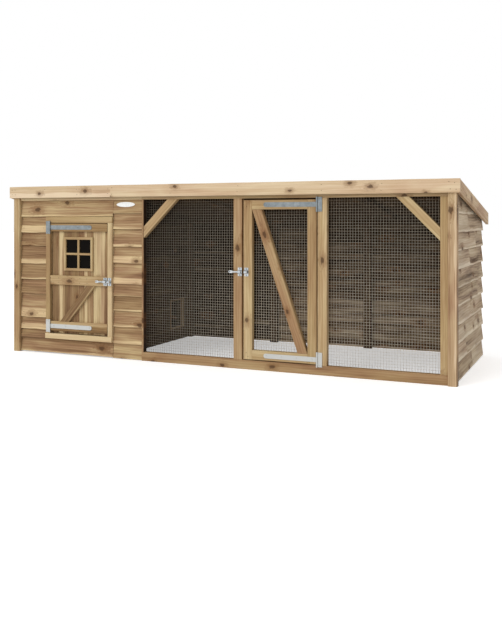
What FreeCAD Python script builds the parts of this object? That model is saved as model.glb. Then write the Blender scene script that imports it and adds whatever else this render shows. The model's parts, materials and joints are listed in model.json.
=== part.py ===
"""Timber animal enclosure: a boarded night house with a covered mesh run, in millimetres.

+X runs along the front to the right, +Y goes from the front to the back and +Z is up. The origin is on the
ground, under the middle of the outer box. The front faces -Y.
"""
import FreeCAD, Part
import math
import os

Vector = FreeCAD.Vector

# Outer size
LENGTH = 2368.0
DEPTH = 884.0
FRONT_HEIGHT = 878.0
BACK_HEIGHT = 739.0

# Timber sections
POST = 40.0
POST_ROUND = 6.0
BATTEN_W = 44.0
BATTEN_T = 28.0
ARRIS = 2.0
TRIM_T = 14.0
TRIM_H = 60.0

# Lapped boards: thick lower edge, thin upper edge
BOARD_BUTT = 9.0
BOARD_TIP = 4.0
BOARD_COURSE = 80.5
BOARD_LAP = 16.0
BOARD_GAP = 0.3
WALL_LIFT = 3.0

# How far the boarded faces stand behind the posts and the roof's back edge
PANEL_SETBACK = 12.0
SIDE_SETBACK = 12.0
BACK_OVERHANG = 4.0

# Roof
DECK_T = 12.0
DECK_BOARDS = 8
FELT_T = 3.0
FELT_LIP = 4.0
RUN_RAFTERS = 3

# Along the front, from the left post to the right
HOUSE_W = 622.0
NARROW_W = 182.0
EDGE_BATTEN_T = 12.0
RUN_DOOR_W = 363.0
BAY_SHIFT = 6.5
LATCH_GAP = 8.0
HINGE_GAP = 5.0
END_STILE_W = 33.0
RAIL_SHOW = 14.0
BRACE_W = 40.0
BRACE_LEG = 190.0

# Run door
RUN_SILL_GAP = 4.0
RUN_HEAD_GAP = 8.0
RUN_BRACE_W = 48.0

# House door and its lining
SIDE_BOARD_W = 171.0
TOP_BOARD_SHOW = 85.0
DOOR_CLEAR = 3.0
JAMB_W = 26.0
LINING_PROUD = 9.0
HEAD_H = 32.0
THRESHOLD_Z = 81.0
THRESHOLD_H = 27.0
THRESHOLD_PROUD = 5.0
LEDGE_T = 16.0
DOOR_BOARD_T = 12.0
TOP_LEDGE_H = 42.0
MIDDLE_LEDGE_H = 48.0
BOTTOM_LEDGE_H = 50.0
BOTTOM_LEDGE_Z = 11.0
DOOR_BRACE_W = 52.0
DOOR_BRACE_FOOT = 62.0
DOOR_BRACE_HEAD = 75.0
HOUSE_LIFT = 5.0
FOOT_LAP = 6.0
HOUSE_SHARES = (46.0, 64.0, 125.0, 75.0, 83.0, 96.0, 69.0, 86.0)
NARROW_LIFT = 11.0
NARROW_SHARES = (64.0, 86.0, 80.0, 75.0, 62.0, 104.0, 83.0, 89.0, 81.0)
NARROW_TOP_SHOW = 69.0

# Window in the house door
WINDOW_W = 180.0
WINDOW_H = 175.0
WINDOW_OFFSET = -6.5
WINDOW_DROP = 71.0
WINDOW_SILL_GAP = 26.0
WINDOW_BAR = 13.0
WINDOW_PROUD = 9.0
WINDOW_T = 18.0
MUNTIN_W = 11.0
MUNTIN_T = 8.0
PANE_T = 3.0

# Inside the house
FLOOR_Z = 50.0
FLOOR_T = 12.0
FLOOR_BOARDS = 7
BEARER_T = 28.0
PARTITION_T = 12.0
PARTITION_COURSE = 85.0
POP_SILL = 72.0
POP_COURSES = 2
POP_BACK = 51.0
POP_W = 160.0
LINER_T = 10.0
LINER_PROUD = 4.0

# Mesh panels, drawn coarser than the real half inch mesh
MESH_T = 1.6
MESH_CELL = 40.0
MESH_BAR = 2.4
MESH_LAP = 18.0

# T-hinges
STRAP_L = 262.0
STRAP_W = 22.0
PLATE_W = 25.0
PLATE_H = 66.0
SHEET_T = 2.5
KNUCKLE_R = 4.0
KNUCKLE_OVER = 1.0
KNUCKLE_GAP = 0.3
PIN_R = 2.0
PIN_CLEAR = 0.05
PIN_HEAD_R = 3.2
PIN_HEAD_H = 1.5

# Sliding bolts
BOLT_R = 4.0
BOLT_CLEAR = 0.1
EYE_ROOM = 5.0
BOLT_TRAVEL = 18.0
BOLT_STANDOFF = 6.5
EYE_L = 22.0
EYE_H = 12.0
EYE_T = 4.0
EYE_HOLE_R = 3.0
GUIDE_L = 16.0
GUIDE_W = 16.0
GUIDE_PLATE_W = 20.0
GUIDE_PLATE_H = 40.0
GUIDE_PLATE_T = 2.0
KEEP_SETIN = 6.0
BOLT_TIP_OUT = 1.0
RUN_BOLT_TIP_OUT = 5.0
RUN_BOLT_RISE = 36.0

# Screws in the hardware
SCREW_R = 1.8
SCREW_HEAD_R = 3.6
SCREW_HEAD_H = 1.6
SCREW_CLEAR = 0.1
SCREW_EDGE = 7.0
STRAP_SCREWS = 4

# Oval plate
BADGE_W = 107.0
BADGE_H = 25.5
BADGE_T = 2.0
BADGE_DROP = 24.0
BADGE_SHIFT = 12.0

# Planes that several pieces share
FRONT = -DEPTH / 2
BACK = DEPTH / 2
POST_FRONT = FRONT + TRIM_T
POST_BACK = POST_FRONT + POST
PANEL_FRONT = POST_FRONT + PANEL_SETBACK
PANEL_BACK = PANEL_FRONT + BATTEN_T
CLADDING = BOARD_TIP + BOARD_BUTT * BOARD_LAP / BOARD_COURSE + BOARD_GAP + BOARD_BUTT
STUD_FRONT = PANEL_FRONT + CLADDING
STUD_BACK = STUD_FRONT + BATTEN_T
BACK_STUD_BACK = BACK - BACK_OVERHANG - CLADDING
BACK_STUD_FRONT = BACK_STUD_BACK - BATTEN_T
POST_OUT = LENGTH / 2 - TRIM_T
POST_IN = POST_OUT - POST
SIDE_STUD_OUT = POST_OUT - SIDE_SETBACK - CLADDING
SIDE_STUD_IN = SIDE_STUD_OUT - BATTEN_T
SLOPE = (FRONT_HEIGHT - BACK_HEIGHT) / DEPTH

# Places along the front
JOINT_X = -POST_OUT + HOUSE_W
MESH_LEFT_X = JOINT_X + NARROW_W
END_STILE_X = POST_IN - END_STILE_W
DOORWAY_W = LATCH_GAP + RUN_DOOR_W + HINGE_GAP
BAY_W = (END_STILE_X - MESH_LEFT_X - DOORWAY_W - 2 * BATTEN_W) / 2
LATCH_POST_X = MESH_LEFT_X + BAY_W - BAY_SHIFT
RUN_DOOR_X = LATCH_POST_X + BATTEN_W + LATCH_GAP
HINGE_POST_X = RUN_DOOR_X + RUN_DOOR_W + HINGE_GAP
RAIL_Z = FRONT_HEIGHT - TRIM_H - RAIL_SHOW
SILL_TOP = BATTEN_W
RUN_DOOR_Z = SILL_TOP + RUN_SILL_GAP
RUN_DOOR_TOP = RAIL_Z - RUN_HEAD_GAP
LINING_FRONT = PANEL_FRONT - LINING_PROUD
RIGHT_JAMB_X = JOINT_X - JAMB_W
LEFT_JAMB_X = -POST_IN + SIDE_BOARD_W
DOOR_X = LEFT_JAMB_X + JAMB_W + DOOR_CLEAR
DOOR_W = RIGHT_JAMB_X - DOOR_CLEAR - DOOR_X
THRESHOLD_TOP = THRESHOLD_Z + THRESHOLD_H
HEAD_TOP = RAIL_Z - TOP_BOARD_SHOW
HEAD_Z = HEAD_TOP - HEAD_H
DOOR_Z = THRESHOLD_TOP + DOOR_CLEAR
DOOR_TOP = HEAD_Z - DOOR_CLEAR
WINDOW_X = DOOR_X + DOOR_W / 2 + WINDOW_OFFSET - WINDOW_W / 2
WINDOW_Z = DOOR_TOP - WINDOW_DROP - WINDOW_H
MIDDLE_LEDGE_Z = WINDOW_Z - WINDOW_SILL_GAP - MIDDLE_LEDGE_H
NARROW_TOP_Z = RAIL_Z - NARROW_TOP_SHOW
BADGE_Z = RAIL_Z - BADGE_DROP
FLOOR_TOP = FLOOR_Z + FLOOR_T
PARTITION_X = JOINT_X - PARTITION_T
PARTITION_STUD_X = PARTITION_X - BATTEN_T
INSIDE_FRONT = STUD_BACK
INSIDE_BACK = BACK_STUD_BACK - POST
HOUSE_PIN_X = DOOR_X - DOOR_CLEAR / 2
RUN_PIN_X = RUN_DOOR_X + RUN_DOOR_W + HINGE_GAP / 2
RUN_BOLT_Z = (RUN_DOOR_Z + RUN_DOOR_TOP) / 2 + RUN_BOLT_RISE
STRAP_KNUCKLE_H = STRAP_W + 2 * KNUCKLE_OVER


def trim_top(y):
    """Height of the barge boards' upper edge."""
    return FRONT_HEIGHT - SLOPE * (y - FRONT)


def felt_top(y):
    return trim_top(y) - FELT_LIP


def deck_top(y):
    return felt_top(y) - FELT_T


def deck_under(y):
    return deck_top(y) - DECK_T


def box(x0, x1, y0, y1, z0, z1):
    return Part.makeBox(x1 - x0, y1 - y0, z1 - z0, Vector(x0, y0, z0))


def timber(x0, x1, y0, y1, z0, z1, rounding=ARRIS):
    """Box with its four long edges rounded."""
    piece = box(x0, x1, y0, y1, z0, z1)
    sizes = (x1 - x0, y1 - y0, z1 - z0)
    along = sizes.index(max(sizes))
    edges = [e for e in piece.Edges if abs(abs(e.tangentAt(e.FirstParameter)[along]) - 1) < 1e-6]
    return piece.makeFillet(min(rounding, 0.3 * min(sizes)), edges)


def prism_x(points, x0, x1):
    """Outline of (y, z) points, from x0 to x1."""
    corners = [Vector(x0, y, z) for y, z in points]
    return Part.Face(Part.makePolygon(corners + corners[:1])).extrude(Vector(x1 - x0, 0, 0))


def prism_y(points, y0, y1):
    """Outline of (x, z) points, from y0 to y1."""
    corners = [Vector(x, y0, z) for x, z in points]
    return Part.Face(Part.makePolygon(corners + corners[:1])).extrude(Vector(0, y1 - y0, 0))


def rod_x(x0, x1, y, z, r):
    return Part.makeCylinder(r, x1 - x0, Vector(x0, y, z), Vector(1, 0, 0))


def rod_y(y0, y1, x, z, r):
    return Part.makeCylinder(r, y1 - y0, Vector(x, y0, z), Vector(0, 1, 0))


def rod_z(z0, z1, x, y, r):
    return Part.makeCylinder(r, z1 - z0, Vector(x, y, z0), Vector(0, 0, 1))


def under_roof(shape):
    """What lies below the roof boards."""
    reach = 2 * (LENGTH + DEPTH)
    room = [(-reach, -reach), (reach, -reach), (reach, deck_under(reach)), (-reach, deck_under(-reach))]
    return shape.common(prism_x(room, -reach, reach))


def save(name, shapes):
    """Writes one node; a list becomes a group of separate solids."""
    solids = [s for shape in shapes for s in shape.Solids]
    shape = solids[0] if len(solids) == 1 else Part.makeCompound(solids)
    shape.exportStep(os.path.join("parts", name + ".step"))


def board_rake(course):
    """How far a board's lower edge stands off the studs, to clear the board below it."""
    return BOARD_TIP + BOARD_BUTT * BOARD_LAP / course + BOARD_GAP


def narrow_rake():
    return board_rake(min(NARROW_SHARES) * (NARROW_TOP_Z - NARROW_LIFT) / sum(NARROW_SHARES))


def lapped_boards(wall, start, end, bottom, top, shares, crown=0.0):
    """Overlapping boards that share the height; the last one reaches above top by crown."""
    scale = (top - bottom) / sum(shares)
    rake = board_rake(min(shares) * scale)
    boards = []
    low = bottom
    for k, share in enumerate(shares):
        high = low + share * scale
        lap = BOARD_LAP if k < len(shares) - 1 else crown
        boards.append(lapped_board(wall, start, end, low, high + lap, rake))
        low = high
    return boards


def lapped_board(wall, start, end, low, high, rake):
    """One wedge of board on a wall's studs."""
    section = [(0, high), (BOARD_TIP, high), (rake + BOARD_BUTT, low), (rake, low)]
    if wall == "front":
        board = prism_x([(STUD_FRONT - d, z) for d, z in section], start, end)
    elif wall == "back":
        board = prism_x([(BACK_STUD_BACK + d, z) for d, z in section], start, end)
    elif wall == "left":
        board = prism_y([(-SIDE_STUD_OUT - d, z) for d, z in section], start, end)
    else:
        board = prism_y([(SIDE_STUD_OUT + d, z) for d, z in section], start, end)
    return under_roof(board)


def net(x0, x1, z0, z1, y0):
    """Flat mesh: one face with square holes, thickened."""
    across = max(2, int((x1 - x0 - MESH_BAR) / MESH_CELL))
    up = max(2, int((z1 - z0 - MESH_BAR) / MESH_CELL))
    step_x = (x1 - x0 - MESH_BAR) / across
    step_z = (z1 - z0 - MESH_BAR) / up

    def loop(xa, xb, za, zb):
        corners = [Vector(xa, y0, za), Vector(xb, y0, za), Vector(xb, y0, zb), Vector(xa, y0, zb)]
        return Part.makePolygon(corners + corners[:1])

    wires = [loop(x0, x1, z0, z1)]
    for i in range(across):
        for k in range(up):
            xa = x0 + MESH_BAR + i * step_x
            za = z0 + MESH_BAR + k * step_z
            wires.append(loop(xa, xa + step_x - MESH_BAR, za, za + step_z - MESH_BAR))
    face = Part.makeFace(wires, "Part::FaceMakerBullseye")
    return face.extrude(Vector(0, MESH_T, 0))


def screw(x, face_y, z, sheet):
    """Round head on a metal face, with its shank through the sheet."""
    head = rod_y(face_y - SCREW_HEAD_H, face_y, x, z, SCREW_HEAD_R)
    rim = [e for e in head.Edges if abs(e.BoundBox.YMax - (face_y - SCREW_HEAD_H)) < 1e-6]
    return head.makeFillet(0.6 * SCREW_HEAD_H, rim).fuse(rod_y(face_y, face_y + sheet, x, z, SCREW_R))


def screw_hole(x, face_y, z, sheet):
    return rod_y(face_y, face_y + sheet, x, z, SCREW_R + SCREW_CLEAR)


def plate_screw_places():
    """Four corners of a hinge plate, as (distance from the pin, height)."""
    inner = KNUCKLE_R + KNUCKLE_GAP + SCREW_HEAD_R + KNUCKLE_GAP
    outer = PLATE_W - SCREW_HEAD_R - 2 * KNUCKLE_GAP
    high = PLATE_H / 2 - SCREW_EDGE
    return [(inner, -high), (outer, high), (inner, high), (outer, -high)]


def strap_screw_places():
    first = KNUCKLE_R + 3 * SCREW_EDGE
    last = STRAP_L - 2 * SCREW_EDGE
    return [(first + (last - first) * k / (STRAP_SCREWS - 1), 0.0) for k in range(STRAP_SCREWS)]


class Hinge:
    """One T-hinge on a front face; side is +1 where the strap runs to +X."""

    def __init__(self, pin_x, face_y, z, side):
        self.pin_x = pin_x
        self.face_y = face_y
        self.sheet_y = face_y - SHEET_T
        self.pin_y = face_y - KNUCKLE_R
        self.z = z
        self.side = side

    def across(self, a, b, z0, z1):
        """Sheet between two distances from the pin, positive towards the strap's tip."""
        xa, xb = sorted((self.pin_x + self.side * a, self.pin_x + self.side * b))
        return box(xa, xb, self.sheet_y, self.face_y, self.z + z0, self.z + z1)

    def tube(self, z0, z1):
        return rod_z(self.z + z0, self.z + z1, self.pin_x, self.pin_y, KNUCKLE_R)

    def bore(self):
        high = self.z + PLATE_H
        return rod_z(self.z - PLATE_H, high, self.pin_x, self.pin_y, PIN_R + PIN_CLEAR)

    def plate(self):
        half, inner = PLATE_H / 2, STRAP_KNUCKLE_H / 2 + KNUCKLE_GAP
        shape = self.across(-PLATE_W, -KNUCKLE_R - KNUCKLE_GAP, -half, half)
        for low, high in ((-half, -inner), (inner, half)):
            shape = shape.fuse(self.across(-PLATE_W, 0, low, high)).fuse(self.tube(low, high))
        return self.drilled(shape.cut(self.bore()), plate_screw_places(), -1)

    def strap(self):
        half = STRAP_W / 2
        shape = self.across(0, STRAP_L - half, -half, half)
        tip_x = self.pin_x + self.side * (STRAP_L - half)
        shape = shape.fuse(rod_y(self.sheet_y, self.face_y, tip_x, self.z, half))
        shape = shape.fuse(self.tube(-STRAP_KNUCKLE_H / 2, STRAP_KNUCKLE_H / 2)).removeSplitter()
        return self.drilled(shape.cut(self.bore()), strap_screw_places(), 1)

    def drilled(self, shape, places, way):
        for a, z in places:
            x = self.pin_x + way * self.side * a
            shape = shape.cut(screw_hole(x, self.sheet_y, self.z + z, SHEET_T))
        return shape

    def screws(self, places, way):
        spots = [(self.pin_x + way * self.side * a, self.z + z) for a, z in places]
        return [screw(x, self.sheet_y, z, SHEET_T) for x, z in spots]

    def pin(self):
        half = PLATE_H / 2
        shaft = rod_z(self.z - half, self.z + half, self.pin_x, self.pin_y, PIN_R)
        foot = rod_z(self.z - half - PIN_HEAD_H, self.z - half, self.pin_x, self.pin_y, PIN_HEAD_R)
        head = rod_z(self.z + half, self.z + half + PIN_HEAD_H, self.pin_x, self.pin_y, PIN_HEAD_R)
        return shaft.fuse(foot).fuse(head)


class Bolt:
    """One sliding bolt that shoots to +X, drawn withdrawn with its tip tip_out past the guide's edge."""

    def __init__(self, edge_x, tip_out, keep_x, face_y, z):
        self.guide_x = edge_x - GUIDE_PLATE_W
        self.tip_x = edge_x + tip_out
        self.eye_x = self.guide_x - BOLT_TRAVEL - EYE_ROOM
        self.keep_x = keep_x
        self.face_y = face_y
        self.axis_y = face_y - GUIDE_PLATE_T - BOLT_STANDOFF
        self.z = z

    def loop(self, x0):
        """Plate with a bored block on it."""
        plate_y = self.face_y - GUIDE_PLATE_T
        half_w, half_h = GUIDE_W / 2, GUIDE_PLATE_H / 2
        plate = box(x0, x0 + GUIDE_PLATE_W, plate_y, self.face_y, self.z - half_h, self.z + half_h)
        a = x0 + (GUIDE_PLATE_W - GUIDE_L) / 2
        block = box(a, a + GUIDE_L, self.axis_y, plate_y, self.z - half_w, self.z + half_w)
        block = block.fuse(rod_x(a, a + GUIDE_L, self.axis_y, self.z, half_w))
        bore = rod_x(x0 - 1, x0 + GUIDE_PLATE_W + 1, self.axis_y, self.z, BOLT_R + BOLT_CLEAR)
        shape = plate.fuse(block).removeSplitter().cut(bore)
        for x, z in self.screw_places(x0):
            shape = shape.cut(screw_hole(x, plate_y, z, GUIDE_PLATE_T))
        return shape

    def screw_places(self, x0):
        high = GUIDE_PLATE_H / 2 - SCREW_EDGE + SCREW_HEAD_R / 2
        return [(x0 + GUIDE_PLATE_W / 2, self.z - high), (x0 + GUIDE_PLATE_W / 2, self.z + high)]

    def loop_screws(self, x0):
        face = self.face_y - GUIDE_PLATE_T
        return [screw(x, face, z, GUIDE_PLATE_T) for x, z in self.screw_places(x0)]

    def rod(self):
        shaft = rod_x(self.eye_x - EYE_H / 2, self.tip_x, self.axis_y, self.z, BOLT_R)
        back, front = self.axis_y + EYE_T / 2, self.axis_y - EYE_T / 2
        near, far = self.eye_x - EYE_H / 2, self.eye_x - EYE_L + EYE_H / 2
        eye = box(far, near, front, back, self.z - EYE_H / 2, self.z + EYE_H / 2)
        eye = eye.fuse(rod_y(front, back, near, self.z, EYE_H / 2))
        eye = eye.fuse(rod_y(front, back, far, self.z, EYE_H / 2))
        shape = shaft.fuse(eye).removeSplitter()
        return shape.cut(rod_y(self.axis_y - BOLT_R, self.axis_y + BOLT_R, far, self.z, EYE_HOLE_R))


def corner_posts():
    for name, x0 in (("front_left_post", -POST_OUT), ("front_right_post", POST_IN)):
        post = timber(x0, x0 + POST, POST_FRONT, POST_BACK, 0, FRONT_HEIGHT, POST_ROUND)
        save(name, [under_roof(post)])
    back = [timber(x0, x0 + POST, INSIDE_BACK, BACK_STUD_BACK, 0, FRONT_HEIGHT)
            for x0 in (-SIDE_STUD_OUT, SIDE_STUD_OUT - POST)]
    save("back_posts", [under_roof(post) for post in back])


def run_front():
    """Sill, rail, uprights, knee braces and mesh of the run's front."""
    depth = (PANEL_FRONT, PANEL_BACK)
    edge_x = MESH_LEFT_X - EDGE_BATTEN_T
    save("front_sill", [timber(edge_x, POST_IN, *depth, 0, SILL_TOP)])
    save("front_top_rail", [under_roof(timber(edge_x, POST_IN, *depth, RAIL_Z, FRONT_HEIGHT))])
    save("run_edge_batten", [timber(edge_x, MESH_LEFT_X, *depth, SILL_TOP, RAIL_Z)])
    save("latch_post", [timber(LATCH_POST_X, LATCH_POST_X + BATTEN_W, *depth, SILL_TOP, RAIL_Z)])
    save("hinge_post", [timber(HINGE_POST_X, HINGE_POST_X + BATTEN_W, *depth, SILL_TOP, RAIL_Z)])
    save("end_stile", [timber(END_STILE_X, POST_IN, *depth, SILL_TOP, RAIL_Z)])
    short_leg = BRACE_LEG - BRACE_W * math.sqrt(2)
    braces = []
    for x, side in ((MESH_LEFT_X, 1), (END_STILE_X, -1)):
        outline = [(x, RAIL_Z - BRACE_LEG), (x + side * BRACE_LEG, RAIL_Z),
                   (x + side * short_leg, RAIL_Z), (x, RAIL_Z - short_leg)]
        braces.append(prism_y(outline, *depth))
    save("knee_braces", braces)
    low, high = SILL_TOP - MESH_LAP, RAIL_Z + MESH_LAP
    save("left_run_mesh", [net(MESH_LEFT_X, LATCH_POST_X + MESH_LAP, low, high, PANEL_BACK)])
    hinge_edge = HINGE_POST_X + BATTEN_W - MESH_LAP
    save("right_run_mesh", [net(hinge_edge, END_STILE_X + MESH_LAP, low, high, PANEL_BACK)])


def run_door():
    depth = (PANEL_FRONT, PANEL_BACK)
    right = RUN_DOOR_X + RUN_DOOR_W
    inner_left, inner_right = RUN_DOOR_X + BATTEN_W, right - BATTEN_W
    rail_low, rail_high = RUN_DOOR_Z + BATTEN_W, RUN_DOOR_TOP - BATTEN_W
    save("run_door_stiles", [timber(RUN_DOOR_X, inner_left, *depth, RUN_DOOR_Z, RUN_DOOR_TOP),
                             timber(inner_right, right, *depth, RUN_DOOR_Z, RUN_DOOR_TOP)])
    save("run_door_rails", [timber(inner_left, inner_right, *depth, rail_high, RUN_DOOR_TOP),
                            timber(inner_left, inner_right, *depth, RUN_DOOR_Z, rail_low)])
    outline = [(inner_left, rail_high), (inner_left + RUN_BRACE_W, rail_high),
               (inner_right, rail_low), (inner_right - RUN_BRACE_W, rail_low)]
    save("run_door_brace", [prism_y(outline, *depth)])
    save("run_door_mesh", [net(inner_left - MESH_LAP, inner_right + MESH_LAP,
                               rail_low - MESH_LAP, rail_high + MESH_LAP, PANEL_BACK)])


def house_front():
    """Lapped boards, studs and the door lining."""
    stud = (STUD_FRONT, STUD_BACK)
    side_boards = lapped_boards("front", -POST_IN, LEFT_JAMB_X, THRESHOLD_Z - FOOT_LAP, HEAD_TOP,
                                HOUSE_SHARES, BOARD_LAP)
    rake = board_rake(BOARD_COURSE)
    top_board = lapped_board("front", -POST_IN, JOINT_X, HEAD_TOP, RAIL_Z, rake)
    foot_board = lapped_board("front", -POST_IN, JOINT_X, HOUSE_LIFT, THRESHOLD_Z, rake)
    head_room = HEAD_TOP - BOARD_GAP
    side_boards[-1] = side_boards[-1].cut(box(-LENGTH, LENGTH, FRONT, BACK, head_room, FRONT_HEIGHT))
    save("house_front_boards", side_boards + [top_board, foot_board])
    narrow_end = MESH_LEFT_X - EDGE_BATTEN_T
    narrow = lapped_boards("front", JOINT_X, narrow_end, NARROW_LIFT, NARROW_TOP_Z, NARROW_SHARES, BOARD_LAP)
    narrow.append(lapped_board("front", JOINT_X, narrow_end, NARROW_TOP_Z, RAIL_Z, narrow_rake()))
    save("narrow_panel_boards", narrow)
    strip = (PANEL_FRONT, STUD_FRONT, RAIL_Z, RAIL_Z + MESH_LAP)
    save("house_top_strip", [timber(-POST_IN, narrow_end, *strip)])
    uprights = [-POST_IN, LEFT_JAMB_X - BATTEN_W, JOINT_X, narrow_end - BATTEN_W]
    studs = [timber(x, x + BATTEN_W, *stud, WALL_LIFT, RAIL_Z) for x in uprights]
    studs.append(under_roof(timber(-POST_IN, narrow_end, *stud, RAIL_Z, FRONT_HEIGHT)))
    save("house_front_studs", studs)
    lining = (LINING_FRONT, STUD_BACK)
    jambs = [timber(x, x + JAMB_W, *lining, THRESHOLD_TOP, HEAD_Z) for x in (LEFT_JAMB_X, RIGHT_JAMB_X)]
    save("door_jambs", jambs)
    save("door_head", [timber(LEFT_JAMB_X, JOINT_X, *lining, HEAD_Z, HEAD_TOP)])
    front = LINING_FRONT - THRESHOLD_PROUD
    save("door_threshold", [timber(LEFT_JAMB_X, JOINT_X, front, STUD_BACK, THRESHOLD_Z, THRESHOLD_TOP)])


def house_door():
    """Ledged and braced door with a four pane window."""
    right = DOOR_X + DOOR_W
    ledge = (LINING_FRONT, LINING_FRONT + LEDGE_T)
    board = (ledge[1], ledge[1] + DOOR_BOARD_T)
    top = DOOR_TOP
    wx0, wx1 = WINDOW_X, WINDOW_X + WINDOW_W
    wz0, wz1 = WINDOW_Z, WINDOW_Z + WINDOW_H
    boards = []
    for x0, x1 in ((DOOR_X, wx0), (wx1, right)):
        middle = (x0 + x1) / 2
        boards += [box(a, b, *board, DOOR_Z, top) for a, b in ((x0, middle), (middle, x1))]
    middle = (wx0 + wx1) / 2
    for a, b in ((wx0, middle), (middle, wx1)):
        boards += [box(a, b, *board, DOOR_Z, wz0), box(a, b, *board, wz1, top)]
    save("house_door_boards", boards)
    middle_z, bottom_z = MIDDLE_LEDGE_Z, DOOR_Z + BOTTOM_LEDGE_Z
    save("house_door_ledges", [timber(DOOR_X, right, *ledge, top - TOP_LEDGE_H, top),
                               timber(DOOR_X, right, *ledge, middle_z, middle_z + MIDDLE_LEDGE_H),
                               timber(DOOR_X, right, *ledge, bottom_z, bottom_z + BOTTOM_LEDGE_H)])
    foot, head = DOOR_X + DOOR_BRACE_FOOT, right - DOOR_BRACE_HEAD - DOOR_BRACE_W
    low = bottom_z + BOTTOM_LEDGE_H
    outline = [(foot, low), (foot + DOOR_BRACE_W, low), (head + DOOR_BRACE_W, middle_z), (head, middle_z)]
    save("house_door_brace", [prism_y(outline, *ledge)])
    frame = (board[0] - WINDOW_PROUD, board[0] - WINDOW_PROUD + WINDOW_T)
    ix0, ix1, iz0, iz1 = wx0 + WINDOW_BAR, wx1 - WINDOW_BAR, wz0 + WINDOW_BAR, wz1 - WINDOW_BAR
    save("window_frame", [box(wx0, ix0, *frame, wz0, wz1), box(ix1, wx1, *frame, wz0, wz1),
                          box(ix0, ix1, *frame, wz0, iz0), box(ix0, ix1, *frame, iz1, wz1)])
    bars = (frame[0] + ARRIS, frame[0] + ARRIS + MUNTIN_T)
    mx, mz = (wx0 + wx1) / 2, (wz0 + wz1) / 2
    half = MUNTIN_W / 2
    save("window_muntins", [box(mx - half, mx + half, *bars, iz0, iz1),
                            box(ix0, mx - half, *bars, mz - half, mz + half),
                            box(mx + half, ix1, *bars, mz - half, mz + half)])
    save("window_pane", [box(ix0, ix1, bars[1], bars[1] + PANE_T, iz0, iz1)])


def walls():
    """Side and back boards with their studs."""
    ends = (POST_BACK, BACK - BACK_OVERHANG)
    side_top = max(deck_under(POST_BACK), deck_under(BACK))
    courses = math.ceil((side_top - WALL_LIFT) / BOARD_COURSE)
    high = WALL_LIFT + courses * BOARD_COURSE
    for wall in ("left", "right"):
        save(wall + "_wall_boards", lapped_boards(wall, *ends, WALL_LIFT, high, [1] * courses))
    back_high = deck_under(BACK_STUD_BACK)
    back_courses = round((back_high - WALL_LIFT) / BOARD_COURSE)
    boards = []
    for start, end in ((-SIDE_STUD_OUT, 0), (0, SIDE_STUD_OUT)):
        boards += lapped_boards("back", start, end, WALL_LIFT, back_high, [1] * back_courses)
    save("back_wall_boards", boards)
    third = (INSIDE_BACK - POST_BACK - 2 * BATTEN_W) / 3
    side_studs = []
    for x0 in (-SIDE_STUD_OUT, SIDE_STUD_IN):
        for k in (1, 2):
            y = POST_BACK + k * third + (k - 1) * BATTEN_W
            side_studs.append(under_roof(timber(x0, x0 + BATTEN_T, y, y + BATTEN_W, WALL_LIFT, FRONT_HEIGHT)))
    save("side_wall_studs", side_studs)
    back = (BACK_STUD_FRONT, BACK_STUD_BACK)
    rail_z = deck_under(BACK_STUD_BACK) - BATTEN_W
    inner = SIDE_STUD_OUT - POST
    studs = [under_roof(timber(-inner, inner, *back, rail_z, FRONT_HEIGHT))]
    for quarter in (-1, 0, 1):
        x = quarter * inner / 2 - BATTEN_W / 2
        studs.append(timber(x, x + BATTEN_W, *back, WALL_LIFT, rail_z))
    save("back_wall_studs", studs)


def partition():
    """Boards between house and run, with the lined pop hole."""
    pop_y = INSIDE_BACK - POP_BACK - POP_W
    pop_top = POP_SILL + POP_COURSES * PARTITION_COURSE
    boards = [box(PARTITION_X, JOINT_X, INSIDE_FRONT, INSIDE_BACK, WALL_LIFT, POP_SILL)]
    z = POP_SILL
    while z < max(deck_under(INSIDE_FRONT), deck_under(INSIDE_BACK)):
        spans = [(INSIDE_FRONT, INSIDE_BACK)]
        if z < pop_top - 1:
            spans = [(INSIDE_FRONT, pop_y), (pop_y + POP_W, INSIDE_BACK)]
        boards += [under_roof(box(PARTITION_X, JOINT_X, a, b, z, z + PARTITION_COURSE)) for a, b in spans]
        z += PARTITION_COURSE
    save("partition_boards", boards)
    uprights = (INSIDE_FRONT, pop_y - BATTEN_W, pop_y + POP_W)
    stud = (PARTITION_STUD_X, PARTITION_X)
    studs = [timber(*stud, y, y + BATTEN_W, FLOOR_TOP, FRONT_HEIGHT) for y in uprights]
    save("partition_studs", [under_roof(stud) for stud in studs])
    depth = (PARTITION_STUD_X, JOINT_X + LINER_PROUD)
    pop_end = pop_y + POP_W
    between = (pop_y + LINER_T, pop_end - LINER_T)
    save("pop_hole_liner", [box(*depth, pop_y, pop_y + LINER_T, POP_SILL, pop_top),
                            box(*depth, pop_end - LINER_T, pop_end, POP_SILL, pop_top),
                            box(*depth, *between, POP_SILL, POP_SILL + LINER_T),
                            box(*depth, *between, pop_top - LINER_T, pop_top)])


def floor():
    width = (INSIDE_BACK - INSIDE_FRONT) / FLOOR_BOARDS
    x0, x1 = -SIDE_STUD_IN, PARTITION_X
    boards = []
    for k in range(FLOOR_BOARDS):
        y = INSIDE_FRONT + k * width
        boards.append(box(x0, x1, y, y + width, FLOOR_Z, FLOOR_TOP))
    save("house_floor_boards", boards)
    last = x1 - BEARER_T
    places = (x0, (x0 + last) / 2, last)
    save("floor_bearers", [timber(x, x + BEARER_T, INSIDE_FRONT, INSIDE_BACK, 0, FLOOR_Z) for x in places])


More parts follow.
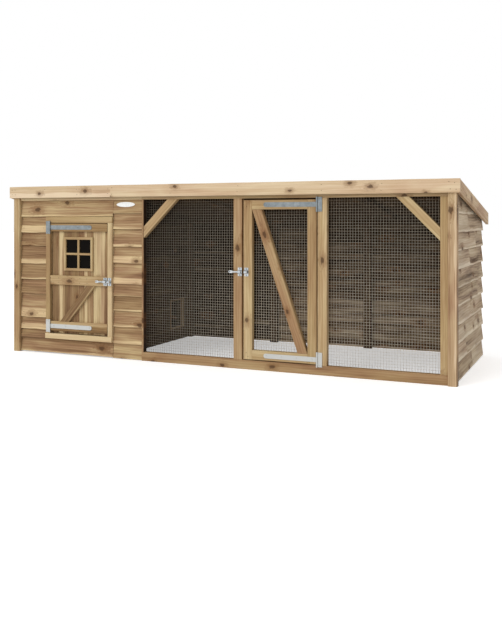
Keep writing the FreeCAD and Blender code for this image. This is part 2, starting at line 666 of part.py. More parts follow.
def roof():
    """Rafters, boards, felt, fascia and barge boards."""
    def sloping(y0, y1, top, bottom, x0, x1):
        return prism_x([(y0, top(y0)), (y1, top(y1)), (y1, bottom(y1)), (y0, bottom(y0))], x0, x1)

    def rafter_under(y):
        return deck_under(y) - BATTEN_T

    bay = (SIDE_STUD_IN - JOINT_X) / (RUN_RAFTERS + 1)
    house_x = (-SIDE_STUD_IN + PARTITION_STUD_X) / 2
    rafters = [sloping(STUD_BACK, BACK_STUD_FRONT, deck_under, rafter_under,
                       house_x - BATTEN_W / 2, house_x + BATTEN_W / 2)]
    for k in range(RUN_RAFTERS):
        x = JOINT_X + (k + 1) * bay
        rafters.append(sloping(PANEL_BACK + MESH_T, BACK_STUD_FRONT, deck_under, rafter_under,
                               x - BATTEN_W / 2, x + BATTEN_W / 2))
    save("rafters", rafters)
    width = (BACK - POST_FRONT) / DECK_BOARDS
    deck = []
    for k in range(DECK_BOARDS):
        y = POST_FRONT + k * width
        deck.append(sloping(y, y + width, deck_top, deck_under, -POST_OUT, POST_OUT))
    save("roof_boards", deck)
    save("roof_felt", [sloping(POST_FRONT, BACK, felt_top, deck_top, -POST_OUT, POST_OUT)])
    low = FRONT_HEIGHT - TRIM_H
    save("house_fascia", [timber(-LENGTH / 2, JOINT_X, FRONT, POST_FRONT, low, FRONT_HEIGHT)])
    save("run_fascia", [timber(JOINT_X, LENGTH / 2, FRONT, POST_FRONT, low, FRONT_HEIGHT)])

    def trim_under(y):
        return trim_top(y) - TRIM_H

    for name, x0 in (("left_barge_board", -LENGTH / 2), ("right_barge_board", POST_OUT)):
        save(name, [sloping(POST_FRONT, BACK, trim_top, trim_under, x0, x0 + TRIM_T)])


def badge():
    """Bare oval plate on the slope of the narrow panel's top board."""
    fall = (narrow_rake() + BOARD_BUTT - BOARD_TIP) / (RAIL_Z - NARROW_TOP_Z)
    oval = Part.Ellipse(Vector(0, 0, 0), BADGE_W / 2, BADGE_H / 2).toShape()
    plate = Part.Face(Part.Wire([oval])).extrude(Vector(0, 0, BADGE_T))
    plate.rotate(Vector(0, 0, 0), Vector(1, 0, 0), 90 - math.degrees(math.atan(fall)))
    stand = BOARD_TIP + fall * (RAIL_Z - BADGE_Z)
    middle = (JOINT_X + MESH_LEFT_X - EDGE_BATTEN_T) / 2
    plate.translate(Vector(middle - BADGE_SHIFT, STUD_FRONT - stand, BADGE_Z))
    save("badge_plate", [plate])


def hardware():
    """T-hinges and sliding bolts."""
    house = [Hinge(HOUSE_PIN_X, LINING_FRONT, z, 1)
             for z in (DOOR_TOP - TOP_LEDGE_H / 2, DOOR_Z + BOTTOM_LEDGE_Z + BOTTOM_LEDGE_H / 2)]
    run = [Hinge(RUN_PIN_X, PANEL_FRONT, z, -1)
           for z in (RUN_DOOR_TOP - BATTEN_W / 2, RUN_DOOR_Z + BATTEN_W / 2)]
    save("hinge_plates", [h.plate() for h in house + run])
    save("hinge_pins", [h.pin() for h in house + run])
    save("house_hinge_straps", [h.strap() for h in house])
    save("run_hinge_straps", [h.strap() for h in run])
    right = DOOR_X + DOOR_W
    house_bolt = Bolt(right, BOLT_TIP_OUT, RIGHT_JAMB_X + (JAMB_W - GUIDE_PLATE_W) / 2,
                      LINING_FRONT, MIDDLE_LEDGE_Z + MIDDLE_LEDGE_H / 2)
    edge = LATCH_POST_X + BATTEN_W
    run_bolt = Bolt(edge, RUN_BOLT_TIP_OUT, RUN_DOOR_X + KEEP_SETIN, PANEL_FRONT, RUN_BOLT_Z)
    for name, bolt in (("house", house_bolt), ("run", run_bolt)):
        save(name + "_bolt_guide", [bolt.loop(bolt.guide_x)])
        save(name + "_bolt_keep", [bolt.loop(bolt.keep_x)])
        save(name + "_bolt_rod", [bolt.rod()])
    fixed = [s for h in house + run for s in h.screws(plate_screw_places(), -1)]
    fixed += house_bolt.loop_screws(house_bolt.keep_x) + run_bolt.loop_screws(run_bolt.guide_x)
    save("frame_screws", fixed)
    on_house = [s for h in house for s in h.screws(strap_screw_places(), 1)]
    save("house_door_screws", on_house + house_bolt.loop_screws(house_bolt.guide_x))
    on_run = [s for h in run for s in h.screws(strap_screw_places(), 1)]
    save("run_door_screws", on_run + run_bolt.loop_screws(run_bolt.keep_x))


os.makedirs("parts", exist_ok=True)
corner_posts()
run_front()
run_door()
house_front()
house_door()
walls()
partition()
floor()
roof()
badge()
hardware()
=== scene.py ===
# %% [markdown]
# # Timber animal enclosure: a boarded night house with a covered mesh run
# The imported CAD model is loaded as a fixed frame, so every piece below is drawn straight in its place.
# The frame's box is kept, because the dressed model may not grow past it.

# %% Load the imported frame
import json
import math
import random
import bmesh
import bpy
from mathutils import Matrix, Vector, noise


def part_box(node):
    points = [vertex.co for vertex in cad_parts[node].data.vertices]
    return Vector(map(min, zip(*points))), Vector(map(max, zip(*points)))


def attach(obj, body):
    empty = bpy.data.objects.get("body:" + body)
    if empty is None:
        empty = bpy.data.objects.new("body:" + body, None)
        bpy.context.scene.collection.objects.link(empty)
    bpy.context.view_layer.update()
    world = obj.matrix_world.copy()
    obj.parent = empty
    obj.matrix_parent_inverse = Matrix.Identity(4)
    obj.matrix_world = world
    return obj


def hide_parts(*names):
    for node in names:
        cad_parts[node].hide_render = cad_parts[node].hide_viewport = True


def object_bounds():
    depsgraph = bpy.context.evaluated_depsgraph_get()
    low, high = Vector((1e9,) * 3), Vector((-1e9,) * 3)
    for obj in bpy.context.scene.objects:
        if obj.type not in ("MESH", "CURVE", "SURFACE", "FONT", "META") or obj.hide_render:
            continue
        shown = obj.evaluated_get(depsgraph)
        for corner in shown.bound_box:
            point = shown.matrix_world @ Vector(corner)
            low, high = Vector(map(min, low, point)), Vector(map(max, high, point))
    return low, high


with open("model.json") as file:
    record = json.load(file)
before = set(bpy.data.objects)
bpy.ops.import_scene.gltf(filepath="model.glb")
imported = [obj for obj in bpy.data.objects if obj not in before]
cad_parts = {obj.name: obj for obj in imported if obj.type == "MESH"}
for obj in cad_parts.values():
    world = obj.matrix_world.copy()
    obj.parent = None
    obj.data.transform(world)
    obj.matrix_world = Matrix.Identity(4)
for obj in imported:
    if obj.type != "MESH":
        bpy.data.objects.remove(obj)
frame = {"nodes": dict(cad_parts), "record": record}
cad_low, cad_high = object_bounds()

rng = random.Random(23)
# Without a seed, Blender's vector noise starts from the clock and each run would bend the planks anew
noise.seed_set(1)
nodes = frame["nodes"]
body_of = {n: body for body, names in frame["record"]["behaviour"]["bodies"].items() for n in names}

# %% [markdown]
# ## Shared sizes
# Planes that several pieces meet on could be typed again, but the frame already knows them.
# They are read from the boxes of the CAD nodes, and only sections and counts are written out, in metres.

# %% Shared planes and sections
MM = 0.001
X, Y, Z = 0, 1, 2
FRONT = cad_low.y
BACK = cad_high.y
FRONT_HEIGHT = cad_high.z
# The roof falls from 878 mm to 739 mm over a depth of 884 mm
ROOF_FALL = (878 - 739) / 884
ROOF_UNDER = 19 * MM
ROOF_PLANE = (Vector((0, FRONT, FRONT_HEIGHT - ROOF_UNDER)), Vector((0, ROOF_FALL, 1)))
BATTEN = 44 * MM
BATTEN_T = 28 * MM
WALL_LIFT = 3 * MM
POST_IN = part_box("front_right_post")[0].x
POST_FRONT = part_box("front_right_post")[0].y
POST_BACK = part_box("front_right_post")[1].y
EDGE_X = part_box("front_sill")[0].x
PANEL_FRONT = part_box("front_sill")[0].y
PANEL_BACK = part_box("front_sill")[1].y
RAIL_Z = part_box("front_top_rail")[0].z
JOINT_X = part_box("house_fascia")[1].x
STUD_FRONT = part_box("house_front_studs")[0].y
STUD_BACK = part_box("house_front_studs")[1].y
BACK_STUD_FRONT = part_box("back_wall_studs")[0].y
BACK_STUD_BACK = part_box("back_wall_studs")[1].y
SIDE_STUD_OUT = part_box("side_wall_studs")[1].x
SIDE_STUD_IN = SIDE_STUD_OUT - BATTEN_T


def roof_under(y):
    """Height of the roof boards' lower face."""
    return FRONT_HEIGHT - ROOF_UNDER - ROOF_FALL * (y - FRONT)


print("planes: posts, studs and rail at", [round(p, 3) for p in (POST_FRONT, STUD_FRONT, RAIL_Z)])

# %% [markdown]
# ## Shader helpers
# Nodes could be placed by hand in the editor, but a script can be read and run again.
# One function fills a node's inputs, one adds a node, one turns an sRGB hex colour into linear light.


# %% Node and colour helpers
def plug(node, links):
    """Gives each input of a node a value or another node's output."""
    for key, value in links.items():
        if isinstance(value, bpy.types.NodeSocket):
            node.id_data.links.new(value, node.inputs[key])
        else:
            node.inputs[key].default_value = value


def add_node(tree, kind, links=None, stops=(), **settings):
    """Adds a shader node and gives back its outputs; stops are the places and colours of a ramp."""
    node = tree.nodes.new("ShaderNode" + kind)
    for key, value in settings.items():
        setattr(node, key, value)
    plug(node, links or {})
    if stops:
        ramp = node.color_ramp.elements
        for end in (0, -1):
            ramp[end].position, ramp[end].color = stops[end]
        for place, colour in stops[1:-1]:
            ramp.new(place).color = colour
    return node.outputs


def srgb(code):
    """Linear RGBA of an sRGB hex colour."""
    parts = [int(code[i:i + 2], 16) / 255 for i in (1, 3, 5)]
    return [c / 12.92 if c <= 0.04045 else ((c + 0.055) / 1.055) ** 2.4 for c in parts] + [1.0]


def new_material(name):
    """A named material with its node tree and its shader."""
    material = bpy.data.materials.new(name)
    material.use_nodes = True
    return material, material.node_tree, material.node_tree.nodes["Principled BSDF"]


print("shader helpers ready")

# %% [markdown]
# ## Knots
# A knot is where a branch grew through the plank: a dark oval heart in a brown halo.
# Spots could be placed one by one. Here cells along the plank hold knots by chance, and each plank may have
# one more of its own, where the photograph has one that stands out.

# %% Knots of a plank
# About 300 mm apart along a plank and 110 mm across it
KNOTS_PER_METRE = (3.3, 9.0, 0.0)
KNOT_SPACING = (1 / KNOTS_PER_METRE[0], 1 / KNOTS_PER_METRE[1], 0.0)
# Branches are cut aslant, so knots are longer along the grain
KNOT_OVAL = (0.6, 1.0, 0.0)
# Radii that a cell without a knot adds to its distance
NO_KNOT = 50.0


def knot_marks(tree, grain, eye, share, radii):
    """The way from the nearest knot, and how much its halo and its heart show."""
    cell = add_node(tree, "VectorMath", {0: grain, 1: KNOTS_PER_METRE}, operation="MULTIPLY")[0]
    knot = add_node(tree, "TexVoronoi", {"Vector": cell, "Scale": 1.0, "Randomness": 0.9},
                    voronoi_dimensions="2D")
    away = add_node(tree, "VectorMath", {0: cell, 1: knot["Position"]}, operation="SUBTRACT")[0]
    away = add_node(tree, "VectorMath", {0: away, 1: KNOT_SPACING}, operation="MULTIPLY")[0]
    chance = add_node(tree, "SeparateColor", {0: knot["Color"]})
    radius = add_node(tree, "MapRange", {0: chance[1], 3: radii[0] * MM, 4: radii[1] * MM})[0]
    own_radius = add_node(tree, "SeparateXYZ", {0: eye})[2]
    ratios = []
    for offset, size in ((away, radius), (eye, own_radius)):
        oval = add_node(tree, "VectorMath", {0: offset, 1: KNOT_OVAL}, operation="MULTIPLY")[0]
        reach = add_node(tree, "VectorMath", {0: oval}, operation="LENGTH")["Value"]
        ratios.append(add_node(tree, "Math", {0: reach, 1: size}, operation="DIVIDE")[0])
    absent = add_node(tree, "Math", {0: chance[0], 1: share}, operation="GREATER_THAN")[0]
    near = add_node(tree, "Math", {0: absent, 1: NO_KNOT, 2: ratios[0]}, operation="MULTIPLY_ADD")[0]
    near = add_node(tree, "Math", {0: near, 1: ratios[1]}, operation="MINIMUM")[0]
    # The outline is torn by grains of about 17 mm by 8 mm
    torn = add_node(tree, "VectorMath", {0: grain, 1: (60.0, 130.0, 0.0)}, operation="MULTIPLY")[0]
    torn = add_node(tree, "TexNoise", {"Vector": torn, "Scale": 1.0})[0]
    torn = add_node(tree, "MapRange", {0: torn, 1: 0.25, 2: 0.75, 3: 0.6, 4: 1.4})[0]
    near = add_node(tree, "Math", {0: near, 1: torn}, operation="MULTIPLY")[0]
    halo = add_node(tree, "MapRange", {0: near, 1: 3.8, 2: 0.9}, interpolation_type="SMOOTHSTEP")[0]
    heart = add_node(tree, "MapRange", {0: near, 1: 1.25, 2: 0.7}, interpolation_type="SMOOTHSTEP")[0]
    return away, halo, heart


print("knots: one cell in", round(1 / KNOTS_PER_METRE[0], 2), "m of plank")

# %% [markdown]
# ## Grain and sapwood
# Growth rings cut lengthwise show as lines along the plank, and the outer, younger wood as a pale band.
# A picture of wood would slide over the joints, so each line is a noise that is read from the plank's own
# coordinates and stretched along its grain.


# %% Grain and sapwood
def grain_patterns(tree, grain, bent):
    """Streaks 33 mm wide, clouds 77 mm wide, growth rings and fibres 2 mm wide, all along the grain."""
    at = add_node(tree, "VectorMath", {0: bent, 1: (1.3, 30.0, 30.0)}, operation="MULTIPLY")[0]
    streaks = add_node(tree, "TexNoise", {"Vector": at, "Scale": 1.0, "Detail": 4.0, "Roughness": 0.62,
                                          "Distortion": 0.5})[0]
    at = add_node(tree, "VectorMath", {0: grain, 1: (2.4, 13.0, 13.0)}, operation="MULTIPLY")[0]
    clouds = add_node(tree, "TexNoise", {"Vector": at, "Scale": 1.0, "Detail": 3.0, "Distortion": 0.8})[0]
    # Growth rings of 4 mm are too fine for the picture, so they are drawn about 13 mm apart
    at = add_node(tree, "VectorMath", {0: bent, 1: (0.12, 1.0, 0.6)}, operation="MULTIPLY")[0]
    rings = add_node(tree, "TexWave", {"Vector": at, "Scale": 24.0, "Distortion": 7.0, "Detail": 2.0,
                                       "Detail Scale": 1.3}, bands_direction="Y")[1]
    at = add_node(tree, "VectorMath", {0: bent, 1: (22.0, 520.0, 520.0)}, operation="MULTIPLY")[0]
    fibres = add_node(tree, "TexNoise", {"Vector": at, "Scale": 1.0, "Detail": 2.0})[0]
    return streaks, clouds, rings, fibres


def sapwood(tree, grain, band):
    """How much pale wood shows: all of it where both edges of the band are still ahead."""
    edge = add_node(tree, "SeparateXYZ", {0: band})
    above = add_node(tree, "Math", {0: edge[2], 1: edge[0]}, operation="SUBTRACT")[0]
    below = add_node(tree, "Math", {0: edge[1], 1: edge[2]}, operation="SUBTRACT")[0]
    inside = add_node(tree, "Math", {0: above, 1: below}, operation="MINIMUM")[0]
    # The border wanders by 9 mm
    at = add_node(tree, "VectorMath", {0: grain, 1: (5.0, 24.0, 0.0)}, operation="MULTIPLY")[0]
    border = add_node(tree, "TexNoise", {"Vector": at, "Scale": 1.0, "Detail": 2.0})[0]
    border = add_node(tree, "MapRange", {0: border, 3: -9 * MM, 4: 9 * MM})[0]
    inside = add_node(tree, "Math", {0: inside, 1: border}, operation="ADD")[0]
    return add_node(tree, "MapRange", {0: inside, 1: -3 * MM, 2: 4 * MM},
                    interpolation_type="SMOOTHSTEP")[0]


print("grain patterns ready")

# %% [markdown]
# ## Softwood
# All the timber is pressure treated softwood, so one shader serves for every board.
# The plank's own tone, its lines and its sapwood add up to one factor on one colour ramp; a ramp keeps the
# colours in step, where mixing a layer for each line would turn them grey.


# %% Softwood shader
def softwood(name, dark, middle, light, knots=0.45, streak=0.65, rough=0.66, wear=0.0,
             knot_mm=(3.5, 9.5), shine=0.25):
    """Softwood; knots is the share of cells that hold one, wear greys what is out in the weather."""
    material, tree, shader = new_material(name)
    grain, band, eye = [add_node(tree, "Attribute", attribute_name=layer)[1]
                        for layer in ("grain", "band", "eye")]
    tone = add_node(tree, "Attribute", attribute_name="tone")[2]
    away, halo, heart = knot_marks(tree, grain, eye, knots, knot_mm)
    # Grain lines part round a knot: the pattern is read from nearer its middle
    pull = add_node(tree, "Math", {0: halo, 1: -0.55}, operation="MULTIPLY")[0]
    shift = add_node(tree, "VectorMath", {0: away, "Scale": pull}, operation="SCALE")[0]
    bent = add_node(tree, "VectorMath", {0: grain, 1: shift}, operation="ADD")[0]
    streaks, clouds, rings, fibres = grain_patterns(tree, grain, bent)
    shares = ((streaks, streak), (clouds, 0.6), (rings, 0.1), (fibres, 0.14))
    level = 0.5 - sum(share for _, share in shares) / 2
    factor = add_node(tree, "Math", {0: tone, 1: 0.3, 2: level}, operation="MULTIPLY_ADD")[0]
    for source, share in shares + ((sapwood(tree, grain, band), 0.36),):
        factor = add_node(tree, "Math", {0: source, 1: share, 2: factor}, operation="MULTIPLY_ADD")[0]
    darkest = [0.2 * c for c in srgb(dark)[:3]] + [1.0]
    stops = ((0.0, darkest), (0.2, srgb(dark)), (0.5, srgb(middle)), (0.9, srgb(light)))
    colour = add_node(tree, "ValToRGB", {0: factor}, stops)[0]
    # Heartwood leans to red and the rest to olive, in slow clouds
    hue = add_node(tree, "MapRange", {0: clouds, 1: 0.3, 2: 0.7, 3: 0.491, 4: 0.507})[0]
    colour = add_node(tree, "HueSaturation", {"Hue": hue, "Saturation": 0.97, "Color": colour})[0]
    for mark, strength, stain in ((halo, 0.5, "#77502f"), (heart, 0.72, "#3d2616")):
        mark = add_node(tree, "Math", {0: mark, 1: strength}, operation="MULTIPLY")[0]
        colour = add_node(tree, "Mix", {0: mark, 6: colour, 7: srgb(stain)}, data_type="RGBA")[2]
    if wear:
        at = add_node(tree, "VectorMath", {0: grain, 1: (4.0, 16.0, 16.0)}, operation="MULTIPLY")[0]
        grime = add_node(tree, "TexNoise", {"Vector": at, "Scale": 1.0, "Detail": 5.0})[0]
        grime = add_node(tree, "MapRange", {0: grime, 1: 0.35, 2: 0.7, 3: 0.0, 4: wear})[0]
        # Only faces out in the weather turn grey; those inside carry a low tone
        outside = add_node(tree, "MapRange", {0: tone, 1: -0.6, 2: -0.5})[0]
        grey = add_node(tree, "Math", {0: grime, 1: outside}, operation="MULTIPLY")[0]
        colour = add_node(tree, "Mix", {0: grey, 6: colour, 7: srgb("#8a8177")}, data_type="RGBA")[2]
    gloss = add_node(tree, "MapRange", {0: streaks, 3: rough + 0.12, 4: rough - 0.12})[0]
    height = add_node(tree, "Math", {0: rings, 1: 0.5, 2: fibres}, operation="MULTIPLY_ADD")[0]
    height = add_node(tree, "Math", {0: heart, 1: 0.6, 2: height}, operation="MULTIPLY_ADD")[0]
    bump = add_node(tree, "Bump", {"Strength": 0.5, "Distance": 0.7 * MM, "Height": height})[0]
    plug(shader, {"Base Color": colour, "Roughness": gloss, "Specular IOR Level": shine, "Normal": bump})
    return material


# Planed battens and posts: even and yellow brown, with few small knots
FRAME_WOOD = softwood("planed_softwood", "#86683f", "#aa8d62", "#d6be94", knots=0.4)
# Cheaper knotty battens: redder and darker, so sill and latch post stand out from the rest
RED_WOOD = softwood("knotty_softwood", "#745434", "#a08058", "#c4aa82", knots=0.75, knot_mm=(5, 11))
# Planed fascia and barge boards: the palest timber, with small knots
TRIM_WOOD = softwood("pale_planed_softwood", "#9c7c58", "#c6aa85", "#e0caa9", knots=0.6, knot_mm=(3, 7))
# Sawn boards of the house front: strong streaks, dull, with pale sapwood edges
BOARD_WOOD = softwood("sawn_boards", "#674a2e", "#9a7a56", "#d3b98c", streak=0.8, rough=0.74,
                      knot_mm=(5, 12))
# Sawn boards of the sides and back: matt, and greyed in patches by the weather
SIDE_WOOD = softwood("weathered_sawn_boards", "#5f4b36", "#b39c80", "#dccbb2", knots=0.7, streak=0.9,
                     rough=0.78, wear=0.22, knot_mm=(5, 12), shine=0.06)
# Sawn boards of the house door: a darker brown that sets off the pale lining
DOOR_WOOD = softwood("sawn_door_boards", "#6b5033", "#957752", "#ceb68b", streak=0.7, rough=0.74)
# Timber inside, sawn and never planed, without shine; its dark colours are painted shade
INNER_WOOD = softwood("rough_inner_softwood_painted_shade", "#2a1f15", "#433223", "#6b543c", knots=0.5, rough=0.85,
                      shine=0.04)
print("softwoods:", [m.name for m in bpy.data.materials if "wood" in m.name or "boards" in m.name])

# %% [markdown]
# ## Working a mesh
# A plank is cut, divided and bent after it is made, much as at a bench.
# Modifiers could do it, but bmesh operators keep every point's grain with it.


# %% Mesh helpers
def new_bm():
    """An empty mesh with the layers that the softwood shader reads."""
    bm = bmesh.new()
    for name in ("grain", "band", "eye"):
        bm.verts.layers.float_vector.new(name)
    bm.verts.layers.float.new("tone")
    return bm


def slice_off(bm, point, normal):
    """Removes what lies beyond a plane and closes the cut."""
    geom = bm.verts[:] + bm.edges[:] + bm.faces[:]
    cut = bmesh.ops.bisect_plane(bm, geom=geom, plane_co=point, plane_no=normal, clear_outer=True)
    edges = [e for e in cut["geom_cut"] if isinstance(e, bmesh.types.BMEdge)]
    if edges:
        bmesh.ops.holes_fill(bm, edges=edges, sides=0)


def divide(bm, axis, step):
    """Cuts the long edges so that a plank can bend."""
    edges = [e for e in bm.edges if abs((e.verts[1].co - e.verts[0].co)[axis]) > 1.5 * step]
    if edges:
        longest = max(e.calc_length() for e in edges)
        bmesh.ops.subdivide_edges(bm, edges=edges, cuts=int(longest / step), use_grid_fill=True)


def wander(bm, size, reach=7.0):
    """Bends a plank by slow noise of that size in metres."""
    seed = Vector([rng.uniform(0, 50) for _ in range(3)])
    for v in bm.verts:
        v.co += noise.noise_vector(v.co * reach + seed) * size


def shade(bm, axis, start, end, drop):
    """Lowers the tone of the points between two places along an axis, where little light comes."""
    tone = bm.verts.layers.float["tone"]
    for v in bm.verts:
        if start < v.co[axis] < end:
            v[tone] -= drop
    return bm


print("mesh helpers ready")

# %% [markdown]
# ## Planks
# A plank could be one stretched cube, but sawn timber has eased edges and is never quite straight.
# Each plank is a cube with its four long edges bevelled, cut along its length and bent by a little noise.
# It is built square in its own place first, so the grain is known before it is tilted or cut.

# %% Planks
# A knot is its place along and across the plank and its radius; these two lie off every plank
KNOT_NONE = (9.0, 9.0, 0.005)
BAND_NONE = (9.0, 9.1)
PLANK_STEP = 70 * MM
BOW = 0.5 * MM


def mark_grain(bm, along, across, through, tone, band, eye):
    """Writes where each point lies in its plank, and the plank's tone, sapwood band and knot."""
    vectors = bm.verts.layers.float_vector
    start = Vector([rng.uniform(0, 20) for _ in range(3)])
    tone_layer = bm.verts.layers.float["tone"]
    for v in bm.verts:
        a, c = v.co[along], v.co[across]
        v[vectors["grain"]] = Vector((a, c, v.co[through])) + start
        v[vectors["band"]] = Vector((band[0], band[1], c))
        v[vectors["eye"]] = Vector((a - eye[0], c - eye[1], eye[2]))
        v[tone_layer] = tone


def plank(low, high, axis, rounding=2 * MM, tone=None, band=BAND_NONE, eye=KNOT_NONE, bow=BOW, face=None):
    """One square length between two corners, its grain along an axis; face is the axis it looks along."""
    bm = new_bm()
    low = Vector(low)
    size = Vector(high) - low
    bmesh.ops.create_cube(bm, size=1.0)
    for v in bm.verts:
        v.co = Vector([low[i] + (v.co[i] + 0.5) * size[i] for i in range(3)])
    others = sorted((i for i in range(3) if i != axis), key=lambda i: (i == face, -size[i]))
    edges = [e for e in bm.edges if abs((e.verts[1].co - e.verts[0].co)[axis]) > 0.9 * size[axis]]
    bmesh.ops.bevel(bm, geom=edges, offset=min(rounding, 0.3 * min(size)), segments=2, profile=0.5,
                    affect="EDGES", material=-1)
    divide(bm, axis, PLANK_STEP)
    if tone is None:
        tone = rng.uniform(-0.45, 0.45)
    mark_grain(bm, axis, others[0], others[1], tone, band, eye)
    wander(bm, bow)
    return bm


print("planks are cut every", PLANK_STEP, "m")

# %% [markdown]
# ## Walls and laps
# Four walls carry the same boards, and each wall looks another way.
# Boards could be turned to fit, but here every wall says how its own directions, along, out and up, become
# places, so one function can make all the boards. Inside, where little light comes, painted shade darkens
# the wood.

# %% Walls and laps
BOARD_BUTT = 9 * MM
BOARD_TIP = 4 * MM
BOARD_COURSE = 80.5 * MM
BOARD_LAP = 16 * MM
BOARD_GAP = 0.3 * MM
# Tone of the inner faces, as painted shade: less varied than outside, lower, and lower still towards the
# roof
INSIDE_SHARE = 0.4
INSIDE_PAINTED_SHADE = 0.75
PAINTED_SHADE_UPWARD = 0.9
HOUSE_PAINTED_SHADE = 3.0
BESIDE_HOUSE_PAINTED_SHADE = 0.75
WALLS = {
    "front": lambda u, out, up: Vector((u, STUD_FRONT - out, up)),
    "back": lambda u, out, up: Vector((u, BACK_STUD_BACK + out, up)),
    "left": lambda u, out, up: Vector((-SIDE_STUD_OUT - out, u, up)),
    "right": lambda u, out, up: Vector((SIDE_STUD_OUT + out, u, up)),
}


def board_rake(course):
    """How far a board's lower edge stands off the studs to clear the board below."""
    return BOARD_TIP + BOARD_BUTT * BOARD_LAP / course + BOARD_GAP


def painted_shelter_shade(wall, x):
    """How much painted shade lowers the tone inside the closed house, and in the half of the run that it
    shades.
    """
    if wall == "left" or (wall == "back" and x < JOINT_X):
        return HOUSE_PAINTED_SHADE
    return BESIDE_HOUSE_PAINTED_SHADE if wall == "back" and x < 0 else 0.0


print("lapped boards stand off by", round(board_rake(BOARD_COURSE) / MM, 1), "mm")

# %% [markdown]
# ## Lapped boards
# A board is sawn to a wedge, thick at the lower edge, which follows the bark a little.
# A straight edge would be quicker but would look moulded. A cube is drawn out to the wedge, cut where it has
# to bend, and noise then eats into its lower edge.

# %% Lapped boards
BOARD_STEP = 35 * MM
TOUCH = 0.5 * MM
EASED_EDGE = 2.2 * MM
EDGE_CUTS = (12 * MM, 30 * MM)
BARK_HEIGHT = 45 * MM
NAIL_UP = 26 * MM
# Places and directions of the nails, which are made later
NAILS = []


def lap_board(wall, start, end, low, high, rake, waney=4 * MM, nails=(), tone=0.0, band=BAND_NONE,
              eye=KNOT_NONE, eased=False):
    """One wedge of board on a wall's studs; waney is how far bark eats in, eased bevels its lower edge."""
    bm = new_bm()
    nail_z = low + NAIL_UP
    face = BOARD_TIP + (rake + BOARD_BUTT - BOARD_TIP) * (high - nail_z) / (high - low)
    NAILS.extend((WALLS[wall](u, face, nail_z), WALLS[wall](u, 1, 0) - WALLS[wall](u, 0, 0)) for u in nails)
    bmesh.ops.create_cube(bm, size=1.0)
    for v in bm.verts:
        outer = v.co.y > 0
        if v.co.z > 0:
            out, up = (BOARD_TIP if outer else 0.0), high
        else:
            out, up = rake + (BOARD_BUTT if outer else 0.0), low
        v.co = Vector((start if v.co.x < 0 else end, out, up))
    if eased:
        edges = [e for e in bm.edges if max(v.co.z for v in e.verts) < low + TOUCH
                 and min(v.co.y for v in e.verts) > rake + 0.5 * BOARD_BUTT]
        bmesh.ops.bevel(bm, geom=edges, offset=EASED_EDGE, segments=2, profile=0.5, affect="EDGES",
                        material=-1)
    for up in EDGE_CUTS:
        geom = bm.verts[:] + bm.edges[:] + bm.faces[:]
        bmesh.ops.bisect_plane(bm, geom=geom, plane_co=(0, 0, low + up), plane_no=(0, 0, 1))
    divide(bm, X, BOARD_STEP)
    mark_grain(bm, X, Z, Y, tone, band, eye)
    seed = rng.uniform(0, 90)
    layer = bm.verts.layers.float["tone"]
    for v in bm.verts:
        # Inner faces get painted shade: a lower tone, lower still upwards, in the house and beside it
        if v.co.y < rake * (high - v.co.z) / (high - low) + TOUCH:
            v[layer] = (INSIDE_SHARE * v[layer] - INSIDE_PAINTED_SHADE - PAINTED_SHADE_UPWARD * v.co.z
                        - painted_shelter_shade(wall, v.co.x))
        fade = max(0.0, 1 - (v.co.z - low) / BARK_HEIGHT)
        # Slow waves of about 180 mm carry quicker ones of about 60 mm
        slow = noise.noise((v.co.x * 5.5 + seed, seed, 0))
        quick = noise.noise((v.co.x * 17, seed, 3))
        v.co.z += waney * fade * max(0.0, 0.5 + 0.5 * slow + 0.4 * quick)
    wander(bm, BOW)
    for v in bm.verts:
        v.co = WALLS[wall](*v.co)
    slice_off(bm, *ROOF_PLANE)
    bmesh.ops.recalc_face_normals(bm, faces=bm.faces)
    return bm


print("lapped boards bend every", BOARD_STEP, "m")

# %% [markdown]
# ## Braces and slopes
# Braces run aslant between two battens, and the roof's timber follows its fall.
# Both are built straight, where the grain is simple, and then turned or lowered; planes cut their ends.


# %% Braces and slopes
def brace(foot, head, width, y0, y1, cuts, **looks):
    """A slanting length between two (x, z) points, then cut off by planes."""
    run = Vector((head[0] - foot[0], 0, head[1] - foot[1]))
    spare = 90 * MM
    bm = plank((-spare, y0, -width / 2), (run.length + spare, y1, width / 2), X, **looks)
    turn = Matrix.Translation((foot[0], 0, foot[1])) @ Matrix.Rotation(-math.atan2(run.z, run.x), 4, "Y")
    bmesh.ops.transform(bm, matrix=turn, verts=bm.verts)
    for point, normal in cuts:
        slice_off(bm, Vector(point), Vector(normal))
    return bm


def lean(bm):
    """Lowers each point by the roof's fall, as everything that lies along the slope does."""
    for v in bm.verts:
        v.co.z -= ROOF_FALL * (v.co.y - FRONT)
    return bm


def under_roof(bm):
    """Cuts a plank off at the roof boards."""
    slice_off(bm, *ROOF_PLANE)
    return bm


print("roof falls", round(ROOF_FALL, 3), "in 1")

# %% [markdown]
# ## Pieces
# A piece is one object for one CAD node, so the joints stay where the frame has them.
# Its planks are joined, and it rides on the node's body and stands for the node.


# %% Piece makers
def piece(name, bm, material, slot, body, *replaced, smooth=False):
    """Makes one object, sets its body and hides the nodes that it stands for; slot is not used."""
    mesh = bpy.data.meshes.new(name)
    bm.to_mesh(mesh)
    bm.free()
    mesh.materials.append(material)
    if smooth:
        mesh.shade_smooth()
    obj = bpy.data.objects.new(name, mesh)
    bpy.context.scene.collection.objects.link(obj)
    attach(obj, body)
    if replaced:
        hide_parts(*replaced)
    return obj


def join(parts, joined):
    """Adds several meshes to one that has their layers."""
    for bm in parts:
        mesh = bpy.data.meshes.new("part")
        bm.to_mesh(mesh)
        joined.from_mesh(mesh)
        bm.free()
        bpy.data.meshes.remove(mesh)
    return joined


